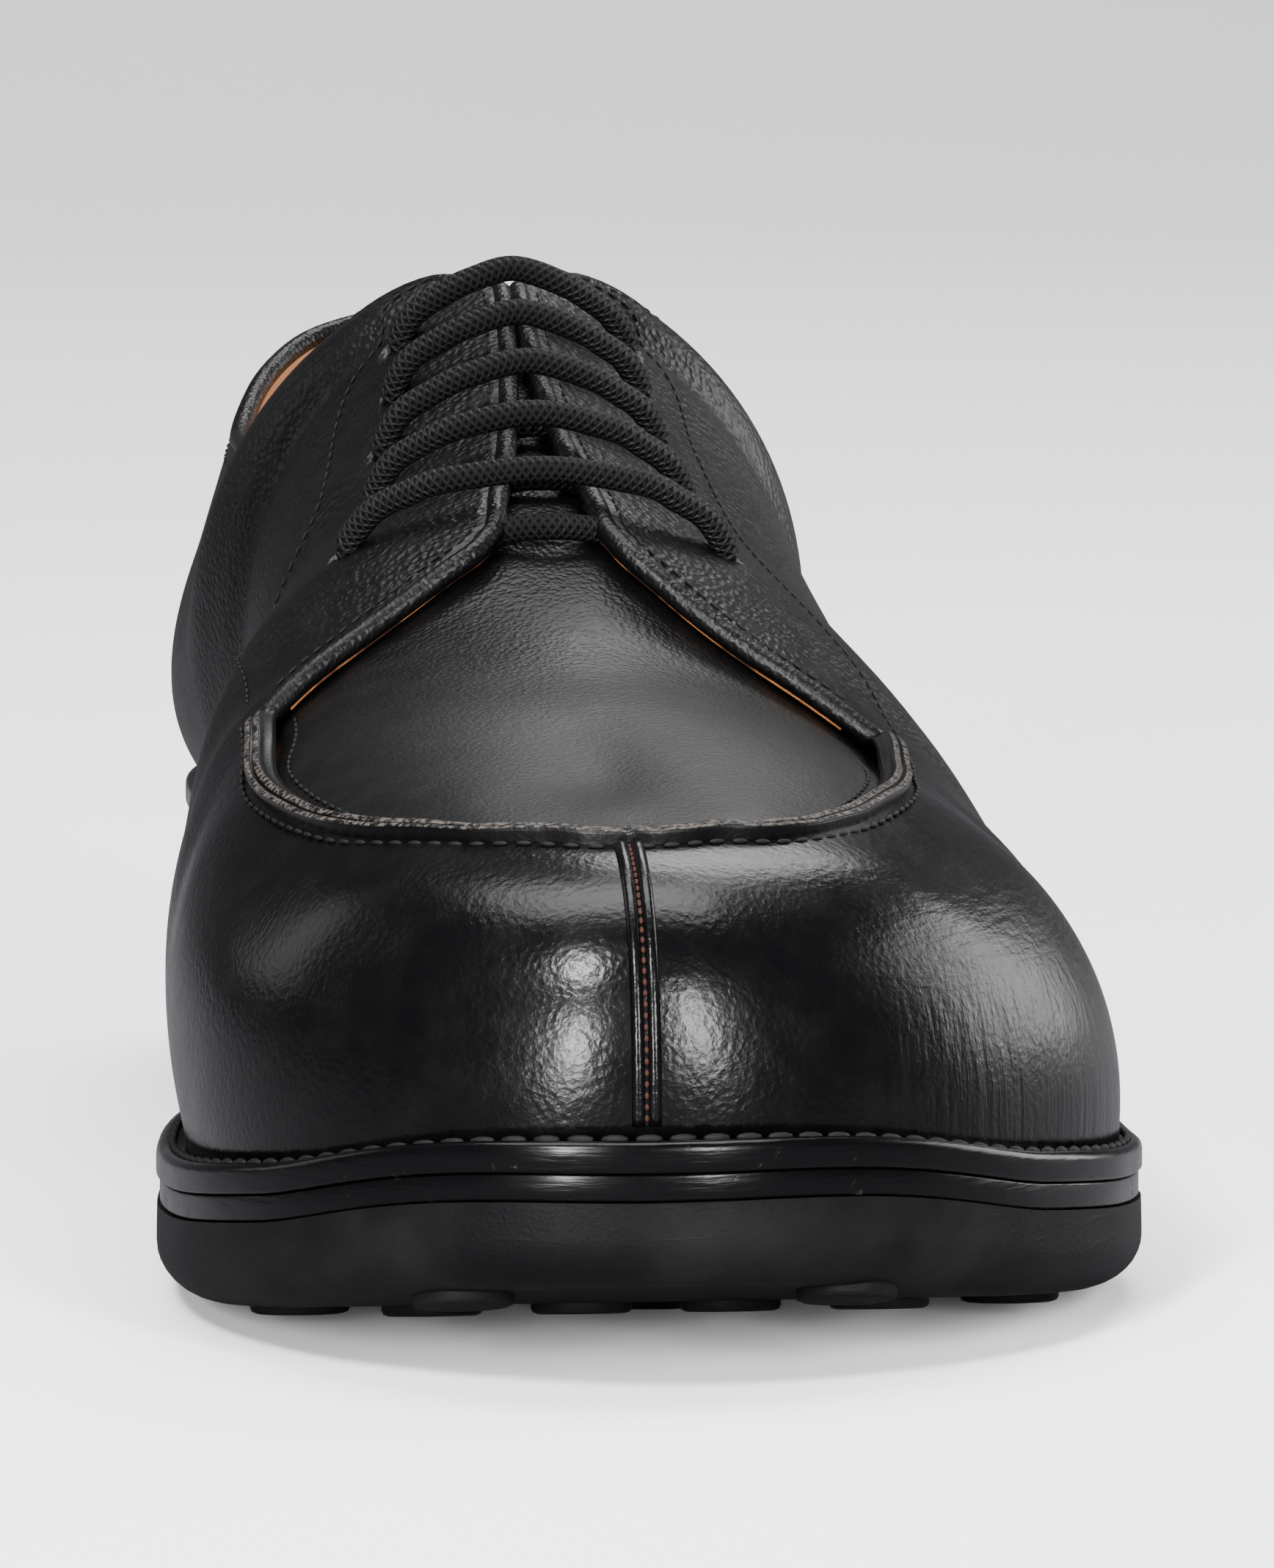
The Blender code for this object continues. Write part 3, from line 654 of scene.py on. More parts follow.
def sweep(path, normals, profile):
    # profile points are (sideways, outwards) round the path; the normals say which way is outwards
    rings, runs, run = [], [], 0.0
    for i, point in enumerate(path):
        tangent = (path[min(i + 1, len(path) - 1)] - path[max(i - 1, 0)]).normalized()
        out = (normals[i] - tangent * normals[i].dot(tangent)).normalized()
        sideways = tangent.cross(out)
        rings.append([point + sideways * w + out * h for w, h in profile])
        if i:
            run += (point - path[i - 1]).length
        runs.append(run)
    return skin(rings, closedRing=True, capEnds=True, runs=runs)


def roundProfile(radius, sides):
    angles = [2 * math.pi * k / sides for k in range(sides)]
    return [(radius * math.cos(a), radius * math.sin(a)) for a in angles]


def joinMeshes(meshes):
    made = bmesh.new()
    for mesh in meshes:
        made.from_mesh(mesh)
    return meshFrom(made)


# stitches: short threads set along a path by a node tree

stitchSizes = {
    # row: (spacing, length, thickness)
    "toeSeamThread": (0.0012, 0.0008, 0.00055),
    "facingStitches": (0.0020, 0.0014, 0.00036),
    "collarStitches": (0.0021, 0.0014, 0.00032),
    "lipStitches": (0.0027, 0.0019, 0.0006),
    "apronStitches": (0.0024, 0.0017, 0.0005),
    "weltStitches": (0.0036, 0.0030, 0.0010),
}


def makeStitchTree():
    tree = bpy.data.node_groups.new("stitchRow", "GeometryNodeTree")
    kinds = {"Path": "Geometry", "Spacing": "Float", "Length": "Float", "Thickness": "Float", "Thread": "Material"}
    for name, kind in kinds.items():
        tree.interface.new_socket(name=name, in_out="INPUT", socket_type="NodeSocket" + kind)
    tree.interface.new_socket(name="Stitches", in_out="OUTPUT", socket_type="NodeSocketGeometry")

    def add(kind, sockets, output, **settings):
        made = tree.nodes.new(kind)
        for key, value in settings.items():
            setattr(made, key, value)
        for key, value in sockets.items():
            if isinstance(value, bpy.types.NodeSocket):
                tree.links.new(value, made.inputs[key])
            else:
                made.inputs[key].default_value = value
        return made.outputs[output]

    given = tree.nodes.new("NodeGroupInput").outputs
    line = add("GeometryNodeMeshToCurve", {"Mesh": given["Path"]}, "Curve")
    steps = add("GeometryNodeResampleCurve", {"Curve": line, "Length": given["Spacing"]}, "Curve", mode="LENGTH")
    ball = add("GeometryNodeMeshUVSphere", {"Segments": 6, "Rings": 5, "Radius": 0.5}, "Mesh")
    way = add("GeometryNodeInputTangent", {}, "Tangent")
    turn = add("FunctionNodeAlignRotationToVector", {"Vector": way}, "Rotation", axis="Z")
    sides = {"X": given["Thickness"], "Y": given["Thickness"], "Z": given["Length"]}
    size = add("ShaderNodeCombineXYZ", sides, "Vector")
    sockets = {"Points": steps, "Instance": ball, "Rotation": turn, "Scale": size}
    placed = add("GeometryNodeInstanceOnPoints", sockets, "Instances")
    real = add("GeometryNodeRealizeInstances", {"Geometry": placed}, "Geometry")
    finished = add("GeometryNodeSetMaterial", {"Geometry": real, "Material": given["Thread"]}, "Geometry")
    tree.links.new(finished, tree.nodes.new("NodeGroupOutput").inputs["Stitches"])
    return tree


stitchTree = makeStitchTree()


def stitchRow(path, thread, sizes):
    made = bmesh.new()
    verts = [made.verts.new(p) for p in path]
    for a, b in zip(verts, verts[1:]):
        made.edges.new((a, b))
    holder = linked("path", meshFrom(made))
    modifier = holder.modifiers.new("stitches", "NODES")
    modifier.node_group = stitchTree
    values = dict(zip(("Spacing", "Length", "Thickness"), sizes), Thread=thread)
    for item in stitchTree.interface.items_tree:
        if item.name in values:
            modifier[item.identifier] = values[item.name]
    return settle(holder)


def stitchPiece(name, paths, thread):
    mesh = joinMeshes([stitchRow(path, thread, stitchSizes[name]) for path in paths])
    print("stitches", name, len(mesh.polygons))
    return newPiece(name, mesh, [thread])


# rubber sole, midsole, welt, heel


def ringStations(first, count):
    ring = aroundHeel([first + (1.0 - first) * i / count for i in range(count + 1)])
    return ring if first > 0 else ring[:-1]


def layerMesh(levels, first=0.0, count=110, hollow=False):
    # levels are (inset from the sole edge, height): a height that is a function is absolute, a number is over the tread
    stations = ringStations(first, count)

    def placed(at, side, inset, lift):
        plan = edgePoint(at, side, inset(at, side) if callable(inset) else inset)
        return Vector((plan.x, plan.y, lift(plan.y))) if callable(lift) else onSole(plan, lift)

    rings = [[placed(*station, *level) for station in stations] for level in levels]
    if hollow:
        return skin(rings, closedRing=True, closedStack=True)
    made = bmesh.new()
    verts = [[made.verts.new(p) for p in ring] for ring in rings]
    width = len(stations)
    for low, high in zip(verts, verts[1:]):
        for i in range(width):
            made.faces.new((low[i], low[(i + 1) % width], high[(i + 1) % width], high[i]))
    place = {key: i for i, key in enumerate(stations)}
    steps = sorted({at for at, _ in stations})
    for loop in (verts[0], verts[-1]):
        for here, there in zip(steps, steps[1:]):
            a, b = place[(here, medial)], place[(there, medial)]
            corners = [a, b, place.get((there, lateral), b), place.get((here, lateral), a)]
            made.faces.new([loop[k] for k in dict.fromkeys(corners)])
    bmesh.ops.recalc_face_normals(made, faces=made.faces)
    return meshFrom(made)


def rounded(inset, lift, radius, outwards, steps):
    # a quarter round corner of a layer's edge, from the flat to the wall
    angles = [math.pi / 2 * k / steps for k in range(steps + 1)]
    return [(inset + radius * (1 - math.sin(a)), lift + outwards * radius * (1 - math.cos(a))) for a in angles]


soleDetail = {
    "studRadius": 0.0055,
    "studAlong": 0.0172,
    "studAcross": 0.0200,
    "studEdge": 0.0130,
    "firstRow": 0.182,
    "lastRow": 0.286,
    "studSegments": 28,
    "studSink": 0.0010,
    "weltInside": 0.0022,
    "sockInside": 0.0028,
    "seat": 0.0001,
}


def studMesh(x, y):
    height, radius = shoe["studHeight"], soleDetail["studRadius"]
    profile = (
        (0.0, -height), (radius - 0.0007, -height), (radius - 0.0002, -height + 0.0002),
        (radius, -height + 0.0006), (radius, soleDetail["studSink"]),
    )
    slope = math.atan2(treadHeight(y + 0.001) - treadHeight(y - 0.001), 0.002)
    turn = Matrix.Translation((x, y, treadHeight(y))) @ Matrix.Rotation(slope, 4, "X")
    angles = [2 * math.pi * k / soleDetail["studSegments"] for k in range(soleDetail["studSegments"])]
    rings = [[turn @ Vector((r * math.cos(a), r * math.sin(a), z)) for a in angles] for r, z in profile]
    return skin(rings, closedRing=True)


def studPlaces():
    rows = int((soleDetail["lastRow"] - soleDetail["firstRow"]) / soleDetail["studAlong"]) + 1
    for row in range(rows):
        y = axisLength / 2 - soleDetail["firstRow"] - row * soleDetail["studAlong"]
        along = (axisLength / 2 - y) / axisLength
        low = axisX - halfWidth(along, medial) + soleDetail["studEdge"]
        high = axisX + halfWidth(along, lateral) - soleDetail["studEdge"]
        count = max(1, int((high - low) / soleDetail["studAcross"]) + row % 2)
        for k in range(count):
            yield low + (high - low) * ((k + 0.5) / count if row % 2 else k / max(1, count - 1)), y


seat = soleDetail["seat"]  # layers stop this much short of each other, so that no two faces lie together
soleTop = shoe["rubber"] - seat
levels = rounded(0.0, 0.0, shoe["soleRounding"], 1, 8) + [(0.0, soleTop * 0.6), (seat, soleTop)]
soleMesh = joinMeshes([layerMesh(levels)] + [studMesh(x, y) for x, y in studPlaces()])
crease = 32  # degrees from which an edge shows sharp
rubberSole = newPiece("rubberSole", soleMesh, [rubberLook], crease)
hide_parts("outsole")

low, high = shoe["rubber"], midsoleTop
levels = rounded(0.0004, low, 0.0003, 1, 3) + rounded(0.0004, high - seat, 0.0003, -1, 3)[::-1]
midsoleEdge = newPiece("midsoleEdge", layerMesh(levels), [soleEdge], crease)
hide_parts("midsole")

low, high = midsoleTop, weltTop


def inside(reach):
    return lambda at, side: marginAt(at, side) + reach


weltInner = inside(soleDetail["weltInside"])
levels = rounded(0.0, low, 0.0004, 1, 3) + rounded(0.0, high, 0.0011, -1, 6)[::-1]
levels += [(lambda at, side: marginAt(at, side) * 0.5, high - seat), (weltInner, high - seat), (weltInner, low)]
weltRing = newPiece("weltRing", layerMesh(levels, hollow=True), [soleEdge], 50)
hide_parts("welt")

breast = math.acos(2 * shoe["heelLength"] / shoe["length"] - 1) / math.pi
taper = shoe["heelTaper"]
stackLevels = [(taper, lambda y: shoe["topPiece"] + seat), (0.0004, treadHeight)]
stackMesh = layerMesh(stackLevels, first=breast, count=40)
heelStack = newPiece("heelStack", stackMesh, [stackLook], crease)
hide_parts("heel_stack")
pieceLevels = [
    (taper + 0.0006, lambda y: 0.0),
    (taper + 0.0002, lambda y: 0.0002),
    (taper, lambda y: 0.0006),
    (taper, lambda y: shoe["topPiece"]),
]
pieceMesh = layerMesh(pieceLevels, first=breast, count=40)
heelPiece = newPiece("heelTopPiece", pieceMesh, [rubberLook], crease)
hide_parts("heel_top_piece")

high += shoe["insoleProud"]
rim = soleDetail["sockInside"]
levels = [(inside(rim), low), (inside(rim), high - 0.0004), (inside(rim + 0.0005), high)]
sock = newPiece("insoleSock", layerMesh(levels), [lining], crease)
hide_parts("insole")
print("sole made")

# upper: side panels, apron, seam lip, toe seam, edges

upperDetail = {
    "wall": 0.0022,
    "apronWall": 0.0018,
    "tongueWall": 0.0020,
    "edgeRadius": 0.00135,
    "rows": 40,
    "apronRows": 26,
    "holeRadius": 0.0021,
    "bedded": 0.0007,
    "notchRound": 0.011,
    "apronUnderSeam": 0.035,
    "tongueReach": 0.021,
    "tongueEnd": 0.592,
    "sheetClear": 0.0009,
    "sheetDips": 0.32,
    "beadRadius": 0.00076,
    "beadApart": 0.00088,
}


def spread(first, last, count):
    return [first + (last - first) * i / count for i in range(count)]


corner, notch, throatTop = shoe["apronCorner"], shoe["notch"], shoe["throatTop"]


def roundedTop(at, side):
    # how far the panel's upper edge moves so that its corner at the notch is round
    here = lastPoint(at, side, panelTop(at, side))
    if abs(at - notch) > 0.026:
        return here * 0
    reach = max(0.0, upperDetail["notchRound"] - abs(at - notch) * 0.35)
    around = [at + reach * k / 3 for k in range(-3, 4)]
    return sum((lastPoint(near, side, panelTop(near, side)) for near in around), here * 0) / 7 - here


panelSteps = spread(0, corner, 64) + spread(corner, notch, 22) + spread(notch, throatTop, 30)
panelSteps += spread(throatTop, 0.70, 24) + spread(0.70, 1.0, 40) + [1.0]
panelRing = aroundHeel(panelSteps)[:-1]
rows = upperDetail["rows"]
roundings = [roundedTop(at, side) for at, side in panelRing]
rings = []
for row in range(rows + 1):
    share = row / rows
    ring = [leatherPoint(at, side, panelTop(at, side) * share) for at, side in panelRing]
    # the foot of the wall is bedded into the welt
    bed = up * (upperDetail["bedded"] if row == 0 else 0.0)
    rings.append([point + moved * share ** 7 - bed for point, moved in zip(ring, roundings)])
panels = thicken(skin(rings, closedRing=True), upperDetail["wall"], [calf, lining, calf], rim=2)
print("panels made", len(panels.polygons))


def shareAtReach(station, side, reach):
    share, length = 1.0, 0.0
    here = lastPoint(station, side, share)
    while length < reach and share > 0.1:
        share -= 0.004
        there = lastPoint(station, side, share)
        length += (there - here).length
        here = there
    return share


def laceHole(row, side):
    share = shareAtReach(row[0], side, row[columnOf(side)] * mm)
    return lastPoint(row[0], side, share), lastNormal(row[0], side, share)


def cutHoles(mesh):
    made = bmesh.new()
    radius = upperDetail["holeRadius"]
    sizes = {"cap_ends": True, "segments": 20, "radius1": radius, "radius2": radius, "depth": 0.005}
    for row in laceRows:
        for side in bothSides:
            centre, out = laceHole(row, side)
            turn = up.rotation_difference(out).to_matrix().to_4x4()
            bmesh.ops.create_cone(made, matrix=Matrix.Translation(centre - out * 0.001) @ turn, **sizes)
    cutter = linked("holes", meshFrom(made))
    cutter.data.materials.append(calf)
    piece = linked("panels", mesh)
    cut = piece.modifiers.new("holes", "BOOLEAN")
    cut.operation, cut.object = "DIFFERENCE", cutter
    result = settle(piece)
    bpy.data.objects.remove(cutter)
    return result


upperPanels = newPiece("sidePanels", cutHoles(panels), [])
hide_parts("upper")


def sheetDepth(station):
    dipping = ease(station, upperDetail["sheetDips"], corner + 0.004)
    return upperDetail["sheetClear"] + upperDetail["wall"] * dipping


def apronDip(station, side, share):
    # the apron sinks beside its seam and lifts softly in the middle
    start = seamShare(station, side)
    t = max(0.0, (share - start) / max(1e-6, 1 - start))
    return 0.0005 * math.exp(-((t - 0.06) / 0.10) ** 2) - 0.0005 * math.sin(math.pi * min(1.0, t))


def sheetHalf(station, side, start, count, dip):
    shares = [start + (1 - start) * i / count for i in range(count + 1)]
    dips = [apronDip(station, side, v) if dip and station < corner else 0.0 for v in shares]
    return [overLast(station, side, v, -sheetDepth(station) - sunk) for v, sunk in zip(shares, dips)]


def sheetLine(station, startShare, count, dip):
    one, two = (sheetHalf(station, side, startShare(station, side), count, dip) for side in bothSides)
    middle = (one[-1] + two[-1]) / 2
    if (one[-1] - two[-1]).length >= 0.0016:
        middle += up * 0.0004
    return one[:-1] + [middle] + two[-2::-1]


def evenDome(lines, reach=0.019):
    # the lines meet in a fan above the toe: there the height follows one smooth dome fitted round it
    pole = lines[2][len(lines[2]) // 2]
    points = [p for line in lines[:40] for p in line[5:-5]]
    ring = [p - pole for p in points if 0.009 < math.hypot(p.x - pole.x, p.y - pole.y) < 0.024]
    terms = numpy.array([[1, p.x, p.y, p.x * p.x, p.x * p.y, p.y * p.y] for p in ring])
    dome = numpy.linalg.lstsq(terms, numpy.array([p.z for p in ring]), rcond=None)[0]
    for line in lines[:46]:
        for j in range(3, len(line) - 3):
            x, y = line[j].x - pole.x, line[j].y - pole.y
            share = (1 - ease(math.hypot(x, y), 0.0, reach)) * min(1.0, (min(j, len(line) - 1 - j) - 2) / 6)
            height = float(numpy.dot(dome, (1, x, y, x * x, x * y, y * y)))
            line[j] = line[j] + up * ((pole.z + height - line[j].z) * share)


def sheetMesh(steps, startShare, count, wall, materials, dip):
    lines = [sheetLine(at, startShare, count, dip) for at in steps]
    for turn in range(30 if dip else 2):
        before = [list(line) for line in lines]
        for i in range(1, len(lines) - 1 if turn < 14 else 22):
            for j in range(3, len(lines[0]) - 3):
                near = before[i - 1][j] + before[i + 1][j] + before[i][j - 1] + before[i][j + 1]
                lines[i][j] = before[i][j] * 0.4 + near * 0.15
        if steps[0] == 0:
            # the first line is the middle of the toe, met from both sides
            for j in range(3, len(lines[0]) - 3):
                lines[0][j] = before[0][j] * 0.6 + (before[1][j] + before[1][-1 - j]) * 0.2
    if dip:
        evenDome(lines)
    mesh = skin(lines)
    highest = max(mesh.polygons, key=lambda face: face.center.z)
    if highest.normal.z < 0:
        mesh.flip_normals()
    return thicken(mesh, wall, materials, even=False)


tongueFront, tongueEnd = shoe["tongueFront"], upperDetail["tongueEnd"]
apronEnd = tongueFront - 0.009
apronSteps = spread(0, corner, 60) + spread(corner, apronEnd, 16) + [apronEnd]
apronMesh = sheetMesh(
    apronSteps, lambda at, side: seamShare(at, side) - upperDetail["apronUnderSeam"], upperDetail["apronRows"],
    upperDetail["apronWall"], [smoothCalf, lining], True,
)
newPiece("apron", apronMesh, [])
tongueMesh = sheetMesh(
    spread(tongueFront, tongueEnd, 40) + [tongueEnd],
    lambda at, side: shareAtReach(at, side, upperDetail["tongueReach"]), 16,
    upperDetail["tongueWall"], [smoothCalf, lining], False,
)
tongue = newPiece("tonguePanel", tongueMesh, [])
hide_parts("tongue")
print("apron and tongue made")

# raised seam: two upstanding leather edges with a groove between them, sideways and outwards in mm
lipWidth, lipHeight = 0.84 * mm, 0.68 * mm
lipProfile = [(w * lipWidth, h * lipHeight) for w, h in (
    (-2.5, -0.9), (-2.0, -0.15), (-1.62, 0.35), (-1.42, 1.0), (-1.36, 1.55), (-1.24, 1.80), (-1.0, 1.88), (-0.42, 1.86),
    (-0.20, 1.72), (-0.08, 1.30), (0.06, 1.30), (0.16, 1.80), (0.34, 2.02), (0.60, 2.06), (0.98, 2.02), (1.18, 1.86),
    (1.28, 1.40), (1.34, 0.70), (1.46, 0.0), (1.60, -1.0), (1.70, -2.4), (-0.6, -1.4),
)]
lipSteps = [corner * i / 110 for i in range(111)]
lipStations = [(at, medial) for at in reversed(lipSteps)] + [(at, lateral) for at in lipSteps[1:]]


def seamAt(at, side, reach=0.0, lift=0.0):
    # a point beside the seam: reach goes towards the spine, along the surface
    share = seamShare(at, side)
    base = lastPoint(at, side, share)
    slope = (lastPoint(at, side, min(share + 0.01, 1.0)) - lastPoint(at, side, share - 0.01)).normalized()
    return base + slope * reach + lastNormal(at, side, share) * lift


def lipWaver(at, side):
    return 0.00005 * math.sin(at * 120 + side) + 0.00009 * math.sin(at * 47 + 2 * side)


def lipLift(at, side):
    # the ends of the lip sink under the facings
    t = min(max((at - corner + 0.014) / 0.014, 0.0), 1.0)
    return 0.0001 + lipWaver(at, side) * 0.6 - 0.0012 * t * t


lipPath = [seamAt(at, side, lipWaver(at, side), lipLift(at, side)) for at, side in lipStations]
lipNormals = [lastNormal(at, side, seamShare(at, side)) for at, side in lipStations]
newPiece("apronSeamLip", sweep(lipPath, lipNormals, lipProfile), [cutEdge])

toeShares = [seamShare(0, medial) * (0.02 + 0.95 * i / 60) for i in range(61)]
beads = []
for side in bothSides:
    path = [lastPoint(0, side, v) + Vector((side * upperDetail["beadApart"], 0.0003, 0)) for v in toeShares]
    out = [lastNormal(0, medial, v) for v in toeShares]
    beads.append(sweep(path, out, roundProfile(upperDetail["beadRadius"], 14)))
newPiece("toeSeamBeads", joinMeshes(beads), [calf])
threadPath = [overLast(0, medial, v, 0.00012) for v in toeShares[1:-1]]
stitchPiece("toeSeamThread", [threadPath], brownThread)

# rolled edge all round the facings, throat and collar, and the raw lining edge that shows under the facings
rimSteps = [at for at in panelSteps if at >= corner]


def rimPoint(at, side, inwards, sunk):
    top = panelTop(at, side)
    normal = lastNormal(at, side, top)
    a0, a1 = max(at - 0.002, corner), min(at + 0.002, 1.0)
    run = (lastPoint(a1, side, panelTop(a1, side)) - lastPoint(a0, side, panelTop(a0, side))).normalized()
    inside = run.cross(normal).normalized()
    below = lastPoint(at, side, max(top - 0.02, 0)) - lastPoint(at, side, top)
    if inside.dot(below) < 0:
        inside.negate()
    return lastPoint(at, side, top) + roundedTop(at, side) + inside * inwards - normal * sunk, normal


def edgeRoll(places, inwards, sunk, profile):
    ends = [rimPoint(at, side, inwards, sunk) for at, side in places]
    return sweep([point for point, _ in ends], [normal for _, normal in ends], profile)


rimMesh = edgeRoll(aroundHeel(rimSteps), 0.0004, 0.00105, roundProfile(upperDetail["edgeRadius"], 16))
newPiece("rolledEdge", rimMesh, [smoothCalf])
rawSteps = [at for at in panelSteps if corner + 0.004 <= at <= notch + 0.03]
rawProfile = roundProfile(0.00045, 10)
rawMeshes = [edgeRoll([(at, side) for at in rawSteps], 0.0003, 0.0022, rawProfile) for side in bothSides]
newPiece("rawLiningEdge", joinMeshes(rawMeshes), [rawEdge])
print("upper edges made")

# stitch rows on the upper and welt


def rowBeside(steps, side, inwards, lift):
    found = []
    for at in steps:
        point, normal = rimPoint(at, side, inwards, 0.0)
        found.append(point + normal * (lift + foldHeight(at, side, panelTop(at, side))))
    return found


def rowOnPanel(table, side):
    flat = throughPoints([Vector((at, share, 0)) for at, share in table], 12)
    return [leatherPoint(p.x, side, p.y, 0.00012) for p in flat]


# station and share of the section along each row
facingLines = {
    medial: ((0.628, 0.985), (0.622, 0.90), (0.580, 0.765), (0.530, 0.71), (0.512, 0.65), (0.503, 0.60)),
    lateral: (
        (0.628, 0.985), (0.620, 0.88), (0.585, 0.78), (0.545, 0.765), (0.510, 0.75), (0.475, 0.72),
        (0.445, 0.66), (0.420, 0.58), (0.402, 0.535),
    ),
}
tabLine = ((0.503, 0.60), (0.470, 0.585), (0.430, 0.615), (0.405, 0.61))
frontSteps = [at for at in panelSteps if corner + 0.006 <= at <= throatTop - 0.004]
collarSteps = [at for at in panelSteps if at >= 0.632]
facingRows = [rowBeside(frontSteps, side, 0.0024, 0.0001) for side in bothSides]
facingRows += [rowOnPanel(facingLines[side], side) for side in bothSides] + [rowOnPanel(tabLine, medial)]
stitchPiece("facingStitches", facingRows, blackThread)
collarRow = [leatherPoint(at, side, shareAtReach(at, side, 0.0034), 0.00005) for at, side in aroundHeel(collarSteps)]
stitchPiece("collarStitches", [collarRow], blackThread)
wallRow = [seamAt(at, side, -0.0023, 0.00010) for at, side in lipStations]


def onApron(at, side, reach):
    share = seamShare(at, side)
    span = (lastPoint(at, side, share + 0.01) - lastPoint(at, side, share)).length * 100
    share += reach / span
    return overLast(at, side, share, 0.0001 - sheetDepth(at) - apronDip(at, side, share))


apronRow = [onApron(at, side, 0.0033) for at, side in lipStations]
stitchPiece("lipStitches", [wallRow], blackThread)
stitchPiece("apronStitches", [apronRow], blackThread)
weltStations = ringStations(0.0, 220)
weltStations.append(weltStations[0])
weltEdges = [edgePoint(at, side, max(0.0017, marginAt(at, side) * 0.55)) for at, side in weltStations]
weltRow = [onSole(point, weltTop + 0.00005) for point in weltEdges]
stitchPiece("weltStitches", [weltRow], blackThread)

# lace: five braided bars that go down through the holes, and the pass that shows under the first one

laceDetail = {
    "radius": 0.00156,
    "sides": 18,
    "arch": 0.0019,
    "sunkEnd": 0.0030,
}


def laceSweep(route, outs):
    normals = [out.normalized() for out in throughPoints(outs, 8)]
    return sweep(throughPoints(route, 8), normals, roundProfile(laceDetail["radius"], laceDetail["sides"]))


for number, row in enumerate(laceRows, start=1):
    station, lift, arch = row[0], laceDetail["radius"] + row[3] * mm, laceDetail["arch"]
    ends = []
    for side in bothSides:
        hole, out = laceHole(row, side)
        inward = (lastPoint(station, side, 1.0) - hole).normalized()
        points = [hole - out * laceDetail["sunkEnd"] + inward * 0.0004, hole - out * 0.0006]
        points.append(hole + out * 0.0009 + inward * 0.0006)
        outs = [inward * -1, inward * -1 + out * 0.3, (out - inward).normalized()]
        for part in (0.74, 0.5, 0.25):
            share = shareAtReach(station, side, row[columnOf(side)] * mm * part)
            points.append(overLast(station, side, share, lift + arch * (1 - part * part)))
            outs.append(lastNormal(station, side, share))
        ends.append((points, outs))
    crest = throatMiddle(station) + Vector((0, -0.0006, lift + arch - 0.0002))
    route = ends[0][0] + [crest] + ends[1][0][::-1]
    outs = ends[0][1] + [up] + ends[1][1][::-1]
    bar = newPiece(f"laceBar{number}", laceSweep(route, outs), [braidLook])
    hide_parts(f"lace_row_{number}")

under = []
for station, sunk in ((0.444, 0.0011), (0.474, 0.0009), (0.508, 0.0008)):
    half = smooth(topLine, 2, station) * mm + 0.0012
    centre = throatMiddle(station) - up * sunk
    route = [centre + Vector((w * half, 0.0008 * abs(w), -0.0010 * w * w)) for w in (-1.0, -0.5, 0.0, 0.5, 1.0)]
    under.append(laceSweep(route, [up] * 5))
newPiece("laceUnder", joinMeshes(under), [braidLook])
print("lace made")

# floor, light and camera

backdrop = {
    "reach": 6.0,
    "start": 2.0,
    "radius": 1.5,
    "step": 0.1745,
    "top": (3.5, 1.7),
    "tone": rgb(0.88, 0.88, 0.88),
    "mirrored": rgb(0.15, 0.15, 0.16),  # darker only where the shoe mirrors it
}
floorLook = Look("paleFloor", Roughness=0.9, Specular_IOR_Level=0.1)
mirrored = floorLook.node("LightPath", {}, "Is Glossy Ray")
floorLook.feed(Base_Color=floorLook.blend(mirrored, backdrop["tone"], backdrop["mirrored"]))
reach, start, radius = backdrop["reach"], backdrop["start"], backdrop["radius"]
angles = [backdrop["step"] * k for k in range(1, 10)]
outlineYZ = [(-reach, 0.0), (start, 0.0)]
outlineYZ += [(start + radius * math.sin(a), radius - radius * math.cos(a)) for a in angles]
outlineYZ.append(backdrop["top"])
floorMesh = skin([[Vector((x, y, z)) for y, z in outlineYZ] for x in (-reach, reach)])
if floorMesh.polygons[0].normal.z < 0:
    floorMesh.flip_normals()
floorMesh.materials.append(floorLook.material)
floorMesh.shade_smooth()
piece = linked("floor", floorMesh)

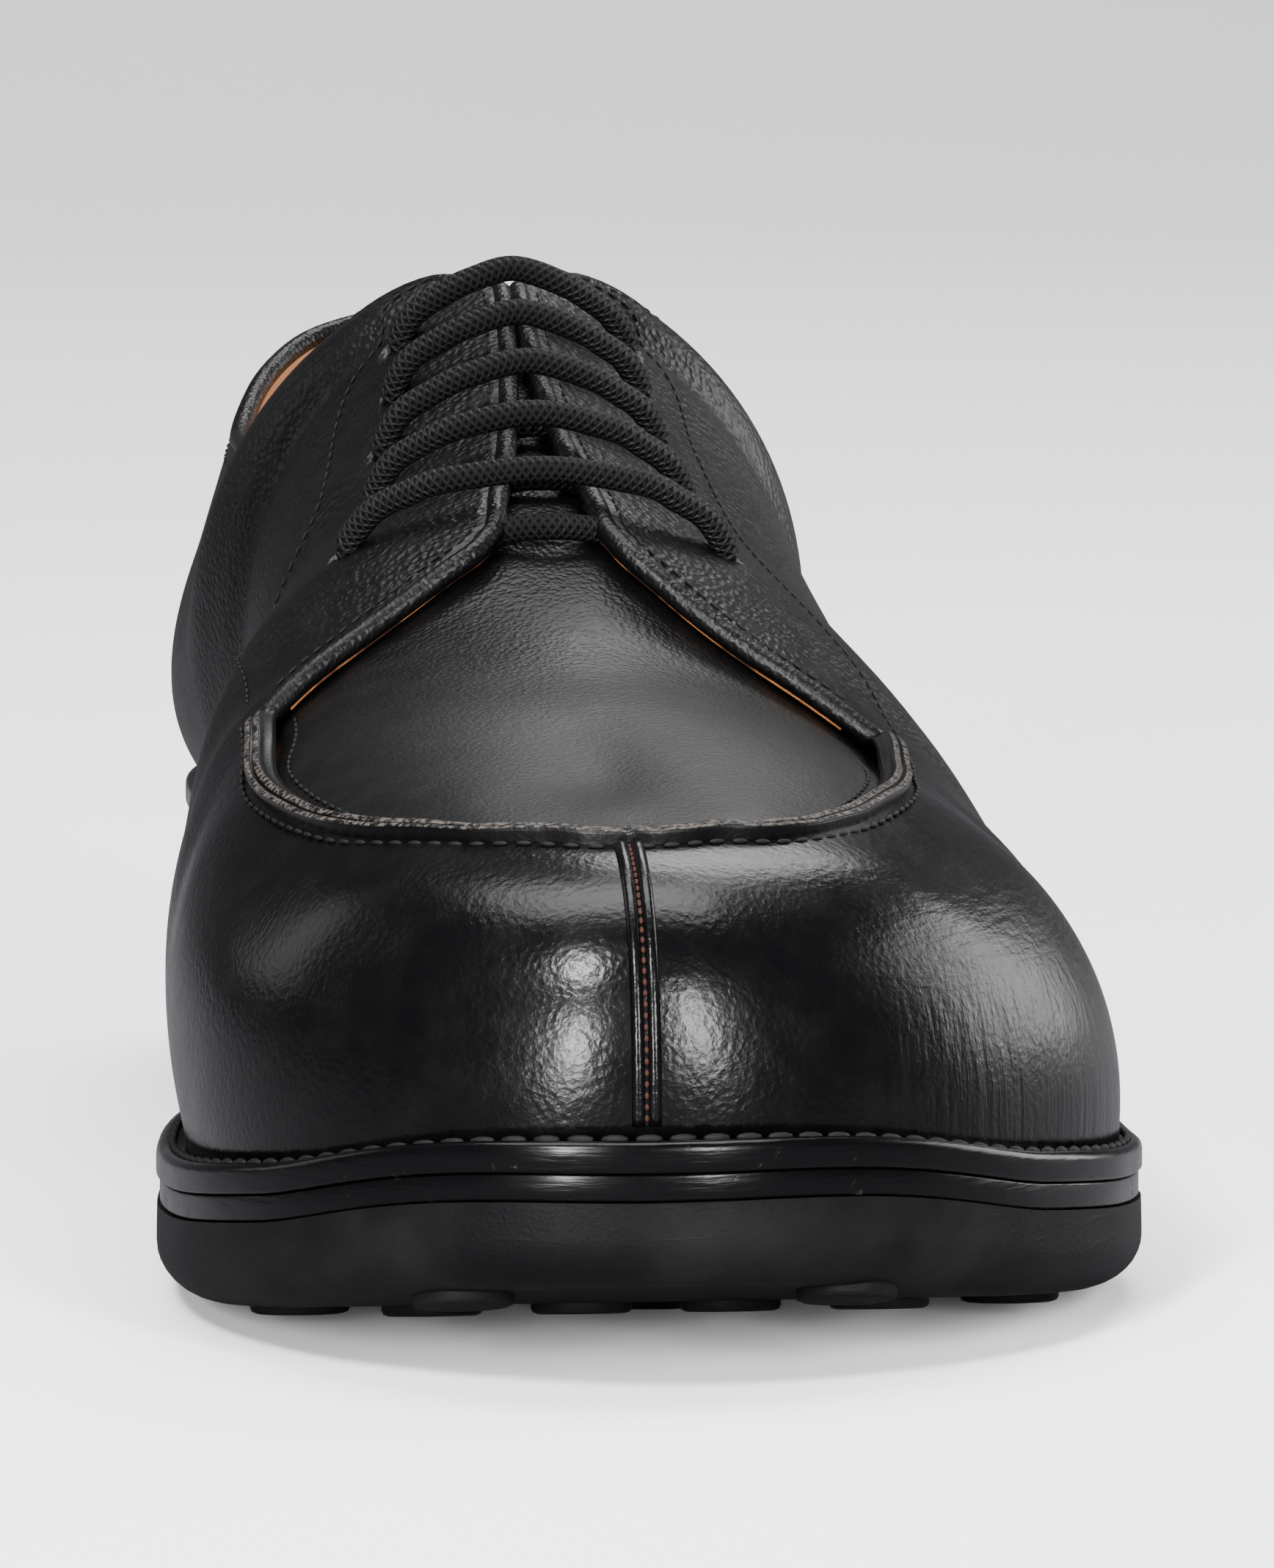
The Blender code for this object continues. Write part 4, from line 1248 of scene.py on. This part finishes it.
world = scene.world or bpy.data.worlds.new("studio")
scene.world = world
world.use_nodes = True
sky = world.node_tree.nodes["Background"].inputs
sky["Color"].default_value = rgb(0.92, 0.93, 0.95)
sky["Strength"].default_value = 0.12

studio = {
    # name: (place, aim, width, height, power, spread in degrees)
    "topWash": ((0.0, 0.55, 2.7), (0.0, 1.3, 0.0), 2.4, 1.5, 80.0, 120),
    "sheen": ((0.30, 0.80, 1.00), (0.0, -0.05, 0.06), 0.55, 0.45, 1.8, 90),
    "frontLeft": ((-0.52, -1.20, 0.30), (-0.02, -0.14, 0.04), 0.12, 0.42, 3.6, 60),
    "highLeft": ((-0.46, -0.90, 0.95), (-0.02, -0.14, 0.04), 0.20, 0.26, 3.4, 60),
    "frontRight": ((0.46, -1.15, 0.42), (0.0, -0.14, 0.04), 0.16, 0.62, 3.6, 60),
    "rightWall": ((1.25, 0.55, 0.45), (0.0, 0.0, 0.05), 0.9, 0.8, 8.0, 120),
    "leftWall": ((-1.2, 0.75, 0.60), (0.0, 0.05, 0.05), 0.6, 0.8, 1.1, 120),
}
for name, (place, aim, width, height, power, opening) in studio.items():
    data = bpy.data.lights.new(name, "AREA")
    data.shape, data.size, data.size_y, data.energy = "RECTANGLE", width, height, power
    data.spread = math.radians(opening)
    lamp = linked(name, data)
    lamp.location = place
    lamp.rotation_euler = (Vector(aim) - Vector(place)).to_track_quat("-Z", "Y").to_euler()

view = {
    "eye": Vector((-0.10644, -1.14244, 0.17965)),
    "heading": (0.0983, -0.1138),
    "lens": 272.0,
    "sensor": 36.0,
}
heading, pitch = view["heading"]
gaze = Vector((math.sin(heading) * math.cos(pitch), math.cos(heading) * math.cos(pitch), math.sin(pitch)))
camera = linked("camera", bpy.data.cameras.new("camera"))
camera.location = view["eye"]
camera.rotation_euler = gaze.to_track_quat("-Z", "Y").to_euler()
camera.data.sensor_fit = "HORIZONTAL"
camera.data.sensor_width = view["sensor"]
camera.data.lens = view["lens"]
camera.data.clip_end = 30.0
bpy.context.scene.camera = camera

print("scene ready")
